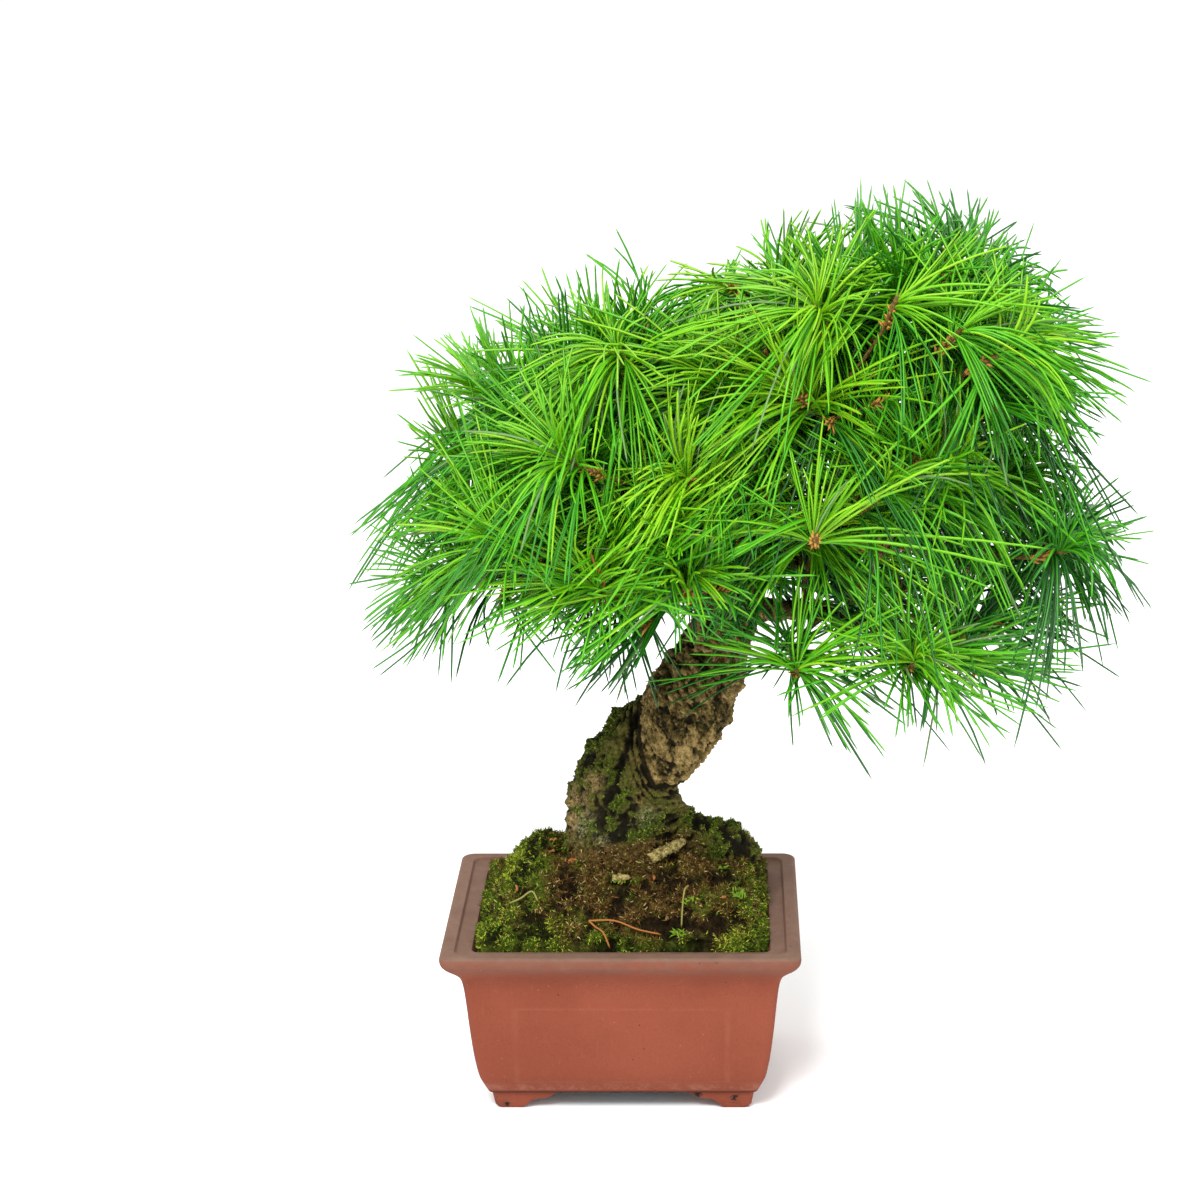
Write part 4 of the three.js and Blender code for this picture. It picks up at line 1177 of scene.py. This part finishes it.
def needle_paths(tuft, rng):
    """The needles of one tuft, in bundles of five: their stations, and each one's share from
    the tip of the twig outwards."""
    bundles, size, _ = TUFT_KINDS[tuft["kind"]]
    axis = tuft["axis"]
    share = (np.arange(bundles) + rng.random(bundles)) / bundles
    turn = np.arange(bundles) * GOLDEN_TURN + rng.random(bundles) * 0.9
    young = tuft["kind"] == "star"
    narrowest = STAR_NARROWEST if young else NARROWEST
    needled = STAR_NEEDLED_LENGTH if young else NEEDLED_LENGTH
    polar = np.radians(narrowest + (WIDEST - narrowest) * share)
    across, over = cross_axes(axis)
    sideways = np.outer(np.cos(turn), across) + np.outer(np.sin(turn), over)
    way = axis * np.cos(polar)[:, None] + sideways * np.sin(polar)[:, None]
    root = tuft["bud"] + axis * (BEYOND_BUD - needled * share)[:, None]
    length = NEEDLE_LENGTH * size * rng.normal(1.0, LENGTH_SPREAD, bundles).clip(*LENGTH_RANGE)
    swirl = rng.normal(0, 0.09) + rng.normal(0, 0.15, (bundles, 1))
    bend = rng.normal(0, 0.13, (bundles, 3)) + sideways * OUTWARD_BEND + rng.normal(0, 0.2, 3)
    bend += np.cross(axis, sideways) * swirl
    bend[:, 2] -= rng.uniform(*DROOP, bundles) * (1.15 - np.abs(way[:, 2]))
    margin = rng.uniform(*MARGIN, bundles)
    full = (way[:, 2] > DOWNWARD) | (rng.random(bundles) < UNDERSIDE_SHARE)
    fits = np.zeros(bundles, bool)
    for shrink in SHRINKS:
        tip = root + (way + bend) * (length * shrink)[:, None]
        now = ~fits & full & (crown_room(tip) > margin)
        length[now] *= shrink
        fits |= now

    def each(values):
        return np.repeat(values[fits], BUNDLE, axis=0)

    count = int(fits.sum()) * BUNDLE
    ways = units(each(way) + rng.normal(0, BUNDLE_SPREAD, (count, 3)))
    bends = each(bend) + rng.normal(0, NEEDLE_BEND, (count, 3))
    lengths = each(length) * rng.uniform(0.82, 1.02, count)
    t = np.array(NEEDLE_STATIONS)[None, :, None]
    reach = lengths[:, None, None]
    paths = each(root)[:, None] + ways[:, None] * reach * t + bends[:, None] * reach * t * t
    tips = paths[:, -1]
    kept = crown_room(tips) > FARTHEST_OUT
    kept &= np.abs(to_frame(tips)[:, 1]) < MOST_DEPTH * MM
    low = tips[:, 2] - np.interp(tips[:, 0], *np.transpose(CROWN_UNDERSIDE)) < THIN_BAND
    over_trunk = np.abs(tips[:, 0]) < OVER_TRUNK
    kept &= ~low | over_trunk | (rng.random(count) > THINNED)
    return paths[kept], each(share)[kept]


# The needles' greens, from sunlit and young to shaded and old.
GREENS = [
    ("lime", (154, 220, 28)),
    ("bright", (126, 210, 18)),
    ("fresh", (100, 196, 18)),
    ("grass", (80, 180, 22)),
    ("mid", (54, 148, 28)),
    ("deep", (30, 108, 24)),
    ("blue", (48, 112, 44)),
    ("pale", (122, 164, 92)),
]
SUNNY_SIDE = [-0.35, -0.35, 0.7]
# Below this height the needles get painted shade, darker the lower they are.
LOW_CROWN = 195
MIDDLE_SHADE = 1.36
SHADE_SPREAD = 0.55
PALE_SHARE = 0.03
SHOWY_KINDS = ("lead", "star")
FOLIAGE_SEED = 7


def greens_of(tuft, paths, share, rng):
    """Which green each needle has: painted shade deep, low and towards the back of the crown, away from
    the sun and on needles that point down, more where they hang below the crown; and darker far back
    along the twig."""
    bud = tuft["bud"]
    darker = TUFT_KINDS[tuft["kind"]][2]
    depth = max(crown_depth(bud[None])[0], 0)
    sunny = float(np.dot(tuft["axis"], SUNNY_SIDE))
    # Painted light and shade: darker for tufts inside, low in and at the back of the crown, lighter for
    # tufts facing the sun.
    shade = MIDDLE_SHADE + darker + 2.4 * (depth - 0.15) - 1.1 * sunny
    shade += 0.005 * (bud[1] + 0.15 * bud[0] + 5) + rng.normal(0, SHADE_SPREAD)
    shade += 0.012 * max(LOW_CROWN - bud[2], 0)
    # Painted shade on needles that point down, more where they hang below the crown.
    below = np.clip((paths[:, 0, 2] - paths[:, -1, 2]) / NEEDLE_LENGTH, 0, 1)
    hanging = smooth_between(-crown_room(paths[:, -1]), -14, 0) * below
    tone = shade + 1.1 * (share - 0.4) + 1.2 * below + 1.9 * hanging
    tone = np.round(tone + rng.normal(0, SHADE_SPREAD, len(share)))
    tone = np.clip(tone, 0, len(GREENS) - 2).astype(int)
    tone[rng.random(len(tone)) < PALE_SHARE] = len(GREENS) - 1
    return tone


def make_foliage():
    rng = np.random.default_rng(FOLIAGE_SEED)
    tufts = []
    batches = [[] for _ in GREENS]
    for tuft in grow_tufts():
        paths, share = needle_paths(tuft, rng)
        fewest = FEWEST_KEPT * TUFT_KINDS[tuft["kind"]][0] * BUNDLE
        if len(paths) < fewest and tuft["kind"] not in SHOWY_KINDS:
            continue
        tufts.append(tuft)
        tone = greens_of(tuft, paths, share, rng)
        for index, batch in enumerate(batches):
            batch.append(paths[tone == index])
    for (name, colour), batch in zip(GREENS, batches):
        paths = np.concatenate(batch)
        widths = NEEDLE_RADIUS * rng.uniform(0.8, 1.15, len(paths))
        points, polygons = swept(paths, widths[:, None] * np.array(NEEDLE_TAPER), 3)
        material = plain_material("needles_" + name, colour, 0.42, 0.35)
        piece = mesh_object("needles_" + name, points, polygons, material)
        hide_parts(*FOLIAGE_NODES)
        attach(piece, "root")
    make_twigs(tufts)
    make_bud_scales(tufts, rng)


TWIG_STEPS = 6


def make_twigs(tufts):
    """Each tuft's twig, which ends in its bud."""
    paths, radii = [], []
    for tuft in tufts:
        bud_way = tuft["axis"] * BUD_LENGTH
        steps = sampled(tuft["curve"], TWIG_STEPS)
        paths.append([*steps, tuft["bud"] + bud_way * 0.6, tuft["bud"] + bud_way])
        size = TUFT_KINDS[tuft["kind"]][1]
        thick = TWIG_RADIUS * (0.6 if tuft["kind"] == "star" else size ** 3)
        bud = BUD_RADIUS * size ** 3
        radii.append([thick * 1.35] + [thick] * (TWIG_STEPS - 1) + [bud, bud * 0.8, 0])
    points, polygons = swept(np.array(paths), np.array(radii), 7)
    points = points + clouds(points, 2.2, 1)[:, None] * 0.35
    twigs = mesh_object("twigs", points, polygons, TWIG, smooth=True)
    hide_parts(*FOLIAGE_NODES)
    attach(twigs, "root")


# The scales round a bud, and the stretch they take up past it: its length, and how far back
# it starts.
SCALES_A_TUFT = 16
SCALED_STRETCH = (8, 3)
STAR_SCALED_STRETCH = (11, 12)


def make_bud_scales(tufts, rng):
    """Papery brown scales round each bud."""
    paths = []
    for tuft in tufts:
        axis = tuft["axis"]
        stretch, back = STAR_SCALED_STRETCH if tuft["kind"] == "star" else SCALED_STRETCH
        for k in range(SCALES_A_TUFT):
            sideways = around(axis, k * GOLDEN_TURN)
            along = k / SCALES_A_TUFT * stretch - back
            start = tuft["bud"] + axis * along + sideways * 0.9
            way = unit(axis + sideways * rng.uniform(0.3, 1.0))
            size = rng.uniform(2.6, 5.4)
            middle = start + way * size * 0.5
            tip = middle + unit(way + sideways * 0.4) * size * 0.5
            paths.append([start, middle, tip])
    radii = np.tile([0.6, 0.7, 0], (len(paths), 1))
    points, polygons = swept(np.array(paths), radii, 3)
    scales = mesh_object("bud_scales", points, polygons, SCALE)
    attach(scales, "root")


# The mound of soil and moss.
MOSS_EDGE = -2.5
EDGE_PILE = 3.5
MOUND_TOP = 25
TOP_CENTRE = [14, 2]
TOP_RADII = [42, 20]
MOUND_LUMPS = [
    [-36, 4, 12, 11], [-52, -12, 7, 14], [-58, 16, 6, 12], [60, 8, 6, 11], [-34, -32, 4, 14],
    [8, -34, -4, 13], [40, -34, 4, 14], [-6, 34, 6, 15], [44, 30, 5, 14],
]
# The moss piled against the trunk's foot, over the solid's own surface.
PILED_MOSS = [[4, -27, 8, 15], [-22, -20, 4, 9], [28, -20, 5, 10]]
MOUND_STEPS = 64
MOUND_SIDE_POINTS = 60
BELOW_MOSS = -9


def mound_height(x, y, share):
    rise = 1 - (1 - share) ** 2.1
    height = MOSS_EDGE + (MOUND_TOP - MOSS_EDGE) * rise
    height += EDGE_PILE * math.exp(-((share / 0.09) ** 2))
    fade = min(8 * share * (1 - share), 1)
    for lump_x, lump_y, lump, reach in MOUND_LUMPS + PILED_MOSS:
        away = math.hypot(x - lump_x, y - lump_y) / reach
        height += fade * lump * math.exp(-away * away)
    return height


def make_mound():
    edge = rounded_ring(RIM_WIDTH + 0.3, POT_HEIGHT, side_points=MOUND_SIDE_POINTS)
    below = edge.copy()
    below[:, 2] = BELOW_MOSS
    rings = [below]
    for step in range(MOUND_STEPS + 1):
        share = step / MOUND_STEPS
        ring = []
        for corner in edge:
            turn = math.atan2(corner[1] / TOP_RADII[1], (corner[0] - TOP_CENTRE[0]) / TOP_RADII[0])
            seat_x = TOP_CENTRE[0] + math.cos(turn) * TOP_RADII[0]
            seat_y = TOP_CENTRE[1] + math.sin(turn) * TOP_RADII[1]
            blend = 0.96 * share + 0.02
            x = corner[0] + (seat_x - corner[0]) * blend
            y = corner[1] + (seat_y - corner[1]) * blend
            ring.append([x, y, mound_height(x, y, share)])
        rings.append(np.array(ring))
    top = rings[-1]
    middle = np.array([*TOP_CENTRE, MOUND_TOP])
    rings += [top + (middle - top) * share for share in (0.35, 0.7, 0.97)]
    points, polygons = loft(rings, cap_start=False)
    mound = mesh_object("moss_mound", points, polygons, SOIL, smooth=True)
    normals = normals_of(mound)
    rough = clouds(points, 4.6)
    lump = clouds(points, 13, 2, offset=90)
    fade = smooth_between(points[:, 2], -6, 1)
    knobs = crack_at(plates(points + 30, 7, UPRIGHT, 1.0)[0], 0.6)
    rise = 2.2 * rough + 3.0 * lump + 0.8 - 2.4 * knobs
    put_points(mound, points + normals * (rise * (0.3 + 0.7 * fade))[:, None])
    # The darkening in the mound's dips is painted shade.
    paint(mound, hollow=smooth_between(-rise, -0.4, 2.2), moss=moss_on_mound(points_of(mound)))
    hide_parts("soil")
    return mound


def moss_on_mound(points):
    """Where green moss grows: at the left and front edges and in patches, less in the middle."""
    patch = clouds(points, 13, 3, offset=400)
    low = smooth_between(-points[:, 2], -7, 1.5)
    left = smooth_between(-points[:, 0], 24, 40)
    right = smooth_between(points[:, 0], 40, 56)
    return np.clip(0.12 + 0.75 * low + 0.65 * left + 0.5 * right + 0.75 * patch, 0, 1)


def scattered(piece, count, rng, weight):
    """Random places on the piece's skin, with normals, favouring faces with more weight."""
    mesh = piece.data
    mesh.calc_loop_triangles()
    corners = np.empty(len(mesh.loop_triangles) * 3, np.int32)
    mesh.loop_triangles.foreach_get("vertices", corners)
    corners = corners.reshape(-1, 3)
    points = points_of(piece)
    a, b, c = points[corners[:, 0]], points[corners[:, 1]], points[corners[:, 2]]
    normal = np.cross(b - a, c - a)
    area = np.linalg.norm(normal, axis=1)
    normal /= area[:, None] + 1e-9
    chance = area * weight(points)[corners].mean(1)
    picks = rng.choice(len(corners), count, p=chance / chance.sum())
    u, v = rng.random((2, count, 1))
    flip = (u + v) > 1
    u, v = np.where(flip, 1 - u, u), np.where(flip, 1 - v, v)
    places = a[picks] + (b - a)[picks] * u + (c - a)[picks] * v
    return places, normal[picks]


def strips(places, ways, bends, lengths, widths, rng):
    """Small flat blades of two stretches that end in a point."""
    across = units(np.cross(ways, rng.normal(0, 1, ways.shape)), TINY)
    middle = places + ways * lengths[:, None] * 0.5
    tip = middle + bends * lengths[:, None] * 0.5
    half = across * widths[:, None] / 2
    points = np.stack([places - half, places + half, middle + half * 0.9, middle - half * 0.9, tip], 1)
    starts = np.arange(len(places))[:, None] * 5
    quads = starts + np.array([[0, 1, 2, 3]])
    tris = starts + np.array([[3, 2, 4]])
    return points.reshape(-1, 3), [quads, tris]


# Strewn moss: its name, colour, count, shortest and longest blade, and width.
MOSS_TONES = [
    ("shade", (30, 22, 8), 9000, (1.2, 3.2), 0.4),
    ("umber", (70, 46, 20), 9000, (1.8, 4.2), 0.36),
    ("brown", (136, 98, 48), 8500, (1.6, 4.0), 0.34),
    ("straw", (216, 192, 126), 5000, (1.0, 3.2), 0.36),
    ("olive", (92, 90, 26), 8000, (1.5, 3.6), 0.4),
    ("green", (92, 132, 26), 8500, (1.3, 3.0), 0.44),
    ("yellow", (190, 206, 64), 5200, (1.1, 2.6), 0.46),
]
TRUNK_MOSS_TONES = [
    ("dark", (40, 56, 12), 5200), ("fresh", (100, 136, 24), 4000), ("light", (176, 184, 76), 2800),
]
# Cushions of yellow moss: a place and how thickly it grows there.
CUSHIONS = [
    [-48, -4, 20, 2.2], [-57, -42, 2, 1.2], [-30, -46, 0, 0.7], [48, -45, 0, 1.0], [62, -16, 4, 0.8],
]
CUSHION_REACH = [8, 12, 12]
LEDGE = -4
MOSS_SEED = 23


def make_moss(mound, trunk):
    rng = np.random.default_rng(MOSS_SEED)
    dips = values_of(mound, "hollow")
    mossy = np.clip(values_of(trunk, "moss") - 0.4, 0, 1) ** 1.2
    soiled = values_of(trunk, "soiled")

    def above_ledge(points):
        return (points[:, 2] > LEDGE) * (1.05 - dips) ** 1.5

    def brown_weight(points):
        return (1.05 - moss_on_mound(points)) * above_ledge(points)

    def green_weight(points):
        return (moss_on_mound(points) ** 1.5 + 0.03) * above_ledge(points)

    def yellow_weight(points):
        tuft = sum(
            strength * np.exp(-(((points - [x, y, z]) / CUSHION_REACH) ** 2).sum(1))
            for x, y, z, strength in CUSHIONS
        )
        spots = np.clip(clouds(points, 9, 2, offset=640) - 0.08, 0, 1) * green_weight(points)
        return (spots * 1.4 + tuft + 0.015) * above_ledge(points)

    weights = {
        "shade": lambda points: dips ** 1.5 * (points[:, 2] > LEDGE),
        "umber": brown_weight,
        "brown": brown_weight,
        "straw": lambda points: brown_weight(points) + 0.2 * above_ledge(points),
        "olive": lambda points: 0.5 * above_ledge(points),
        "green": green_weight,
        "yellow": yellow_weight,
    }
    for name, colour, count, lengths, width in MOSS_TONES:
        spread = 1.5 if name in ("umber", "brown", "straw") else 0.85
        sprout("moss_" + name, colour, mound, count, weights[name], lengths, width, spread, rng)
    for name, colour, count in TRUNK_MOSS_TONES:
        name = "trunk_moss_" + name
        sprout(name, colour, trunk, count, lambda points: mossy, (0.8, 1.8), 0.42, 0.8, rng)
    for name, colour, count, lengths, width in MOSS_TONES[1:5]:
        name = "foot_" + name
        sprout(name, colour, trunk, count // 7, lambda points: soiled, lengths, width, 1.3, rng)


def sprout(name, colour, carrier, count, weight, lengths, width, spread, rng):
    """Many small blades of one colour, strewn over the carrier's skin."""
    places, normals = scattered(carrier, count, rng, weight)
    ways = units(normals + rng.normal(0, spread, normals.shape))
    bends = units(ways + rng.normal(0, 0.6, ways.shape))
    sizes = rng.uniform(*lengths, count)
    widths = width * rng.uniform(0.7, 1.5, count)
    points, polygons = strips(places - normals * 0.3, ways, bends, sizes, widths, rng)
    piece = mesh_object(name, points, polygons, plain_material(name, colour, 0.85, 0.1))
    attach(piece, "root")


# What lies on the mound: each thing is a path of places seen from above, lifted off the moss.
STUBS = [
    [[12, -24, 33], [17, -20.5, 34.5], [23, -16.5, 36], [29, -12, 37.5]],
    [[-4, -31, 27], [0, -30.5, 27], [4, -29.5, 26.5]],
]
STUB_RADII = [[2.5, 2.9, 2.2, 2.5, 1.3], [1.3, 1.6, 0.9]]
STUB_CRUSTS = [("pale", (214, 204, 140), 220), ("mossy", (96, 110, 34), 130), ("dark", (64, 52, 24), 90)]
FALLEN_NEEDLES = [
    [[-14.4, -40.8], [-3, -41.4], [8, -42.6], [18.8, -43.2]],
    [[-14.4, -40.8], [-11.5, -42.6], [-8, -45.5], [-4.5, -49]],
]
STEMS = [
    [[-50, -36], [-45, -34.5], [-40, -35], [-37, -38]], [[30, -33], [28.5, -36], [27.5, -39], [27, -41]],
]
DRY_NEEDLE = [[-4, -90, 178], [-3, -96, 187], [-6, -99, 193], [-8, -100, 199]]
THREAD_RADIUS = 0.42
WITHERED_TUFT = [112, -74, 191]
WITHERED_NEEDLES = 16
DRY_BITS = [
    [-32, -3], [-32.5, -9], [-22, -21], [-24, -23], [15, -28], [0, -30], [46, -37], [-47, -27],
]
# Each seedling: its place, its height and how many blades it has.
SEEDLINGS = [
    [26, -42, 5, 26], [30.5, -38, 3.5, 10], [53, -33, 6, 30], [-2, -30, 3.5, 18], [45, -19, 3.5, 8],
]
PATH_STEPS = 12
DEBRIS_SEED = 31


def make_debris(mound):
    rng = np.random.default_rng(DEBRIS_SEED)
    ground = points_of(mound)

    def lifted(path, lift):
        """A path seen from above, laid that far over the moss."""
        placed = []
        for x, y in path:
            near = np.hypot(ground[:, 0] - x, ground[:, 1] - y) < 2.2
            top = ground[near, 2].max() if near.any() else MOSS_EDGE
            placed.append([x, y, top + lift])
        return np.array(dense(placed, PATH_STEPS))

    def evenly(points):
        return np.ones(len(points))

    def spot(x, y, lift):
        return lifted([[x, y], [x + 1, y]], lift)[0]

    def tubes(name, paths, radii, sides, material):
        points, polygons = swept(np.array(paths), np.array(radii), sides)
        push = clouds(points, 1.6, 1)[:, None]
        away = rng.normal(0, 1, points.shape)
        rough = np.mean(radii) * 0.25
        points = points + push * away / np.linalg.norm(away, axis=1, keepdims=True) * rough
        piece = mesh_object(name, points, polygons, material, smooth=True)
        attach(piece, "root")
        return piece

    steps = np.linspace(0, 1, PATH_STEPS + 1)
    stub_paths = [np.array(dense(path, PATH_STEPS)) - [0, 0, 0.6] for path in STUBS]
    stub_radii = [np.interp(steps, np.linspace(0, 1, len(radii)), radii) for radii in STUB_RADII]
    stubs = tubes("root_stubs", stub_paths, stub_radii, 12, STUB)
    for name, colour, count in STUB_CRUSTS:
        name = "stub_" + name
        sprout(name, colour, stubs, count, evenly, (0.5, 1.5), 0.5, 1.0, rng)
    thread = np.append(np.full(PATH_STEPS, THREAD_RADIUS), 0)
    needles = [lifted(path, 1.8) for path in FALLEN_NEEDLES]
    tubes("fallen_needles", needles, [thread, thread], 6, DRY)
    tubes("stems", [lifted(path, 1.6) for path in STEMS], [thread, thread], 6, PALE)
    tubes("dry_needle", [np.array(dense(DRY_NEEDLE, PATH_STEPS))], [thread * 1.3], 6, DRY)
    withered = []
    for _ in range(WITHERED_NEEDLES):
        way = unit(rng.normal(0, 0.8, 3) + [0, -0.5, 0.3]) * rng.uniform(8, 15)
        start = np.array(WITHERED_TUFT, float)
        withered.append([start, start + way * 0.5, start + way + [0, 0, -2]])
    tubes("withered_tuft", withered, np.tile([0.45, 0.5, 0], (len(withered), 1)), 4, WITHERED)
    bits = []
    for x, y in DRY_BITS:
        start = spot(x, y, 0.6)
        for _ in range(3):
            way = unit(rng.normal(0, 1, 3) * [1, 1, 0.5]) * rng.uniform(1.2, 2.8)
            bits.append([start, start + way * 0.5 + [0, 0, 0.4], start + way])
    tubes("dry_bits", bits, np.tile([0.4, 0.65, 0], (len(bits), 1)), 5, DRY)
    blades = []
    for x, y, height, count in SEEDLINGS:
        start = spot(x, y, -0.4)
        for _ in range(count):
            way = unit(rng.normal(0, 0.7, 3) + [0, 0, 1]) * height * rng.uniform(0.6, 1.1)
            droop = np.array([0, 0, -0.25 * height])
            base = start + rng.normal(0, 1.2, 3) * [1, 1, 0]
            blades.append([base, base + way * 0.55, base + way + droop])
    tubes("seedlings", blades, np.tile([0.25, 0.36, 0], (len(blades), 1)), 4, SPROUT)


# The studio: a wide pale floor, soft lamps, a pale surround and the photograph's camera.
FLOOR_RADIUS = 12000
FLOOR_SIDES = 64
LIT_PLACE = (0, 0, 0.2)
# Each lamp: its place in metres, its size and its power.
LAMPS = {
    "key": ((-0.5, -1.5, 2.1), 0.8, 66),
    "fill": ((1.6, -1.2, 1.2), 1.6, 8),
    "back": ((0.4, 1.8, 1.6), 1.6, 12),
}
SURROUND = 1.06


def make_floor():
    turns = turns_round(FLOOR_SIDES)
    ring = np.stack([np.cos(turns), np.sin(turns), np.zeros(FLOOR_SIDES)], 1) * FLOOR_RADIUS
    ring[:, 2] = -POT_HEIGHT
    floor = mesh_object("floor", ring, [np.arange(FLOOR_SIDES)[None]], floor_material())


def make_light():
    for name, (place, size, power) in LAMPS.items():
        data = bpy.data.lights.new(name, "AREA")
        data.size = size
        data.energy = power
        lamp = new_object(name, data)
        lamp.location = place
        lamp.rotation_euler = (Vector(LIT_PLACE) - Vector(place)).to_track_quat("-Z", "Y").to_euler()
    world = bpy.data.worlds.new("surround")
    bpy.context.scene.world = world
    world.use_nodes = True
    surround = world.node_tree.nodes["Background"].inputs
    surround["Color"].default_value = (1, 1, 1, 1)
    surround["Strength"].default_value = SURROUND
    bpy.context.scene.view_settings.view_transform = "Standard"


# The camera stands level before the pot and looks down at it. The photograph was cropped off
# centre, which the shift repeats.
CAMERA_PLACE = [44.84, -1149.5, 511.4]
CAMERA_PITCH = 17.57
CAMERA_LENS = 81
CAMERA_SENSOR = 36
CAMERA_SHIFT = -0.101
CAMERA_SIGHT = 50


def make_camera():
    data = bpy.data.cameras.new("camera")
    data.lens = CAMERA_LENS
    data.sensor_width = CAMERA_SENSOR
    data.shift_x = CAMERA_SHIFT
    data.clip_end = CAMERA_SIGHT
    camera = new_object("camera", data)
    camera.location = to_frame(CAMERA_PLACE)
    camera.rotation_euler = (math.radians(90 - CAMERA_PITCH), 0, 0)
    bpy.context.scene.camera = camera


make_camera()
make_light()
make_floor()
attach(make_pot(), "root")
trunk = make_trunk()
mound = make_mound()
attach(trunk, "root")
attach(mound, "root")
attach(make_boughs(), "root")
make_moss(mound, trunk)
make_debris(mound)
make_foliage()
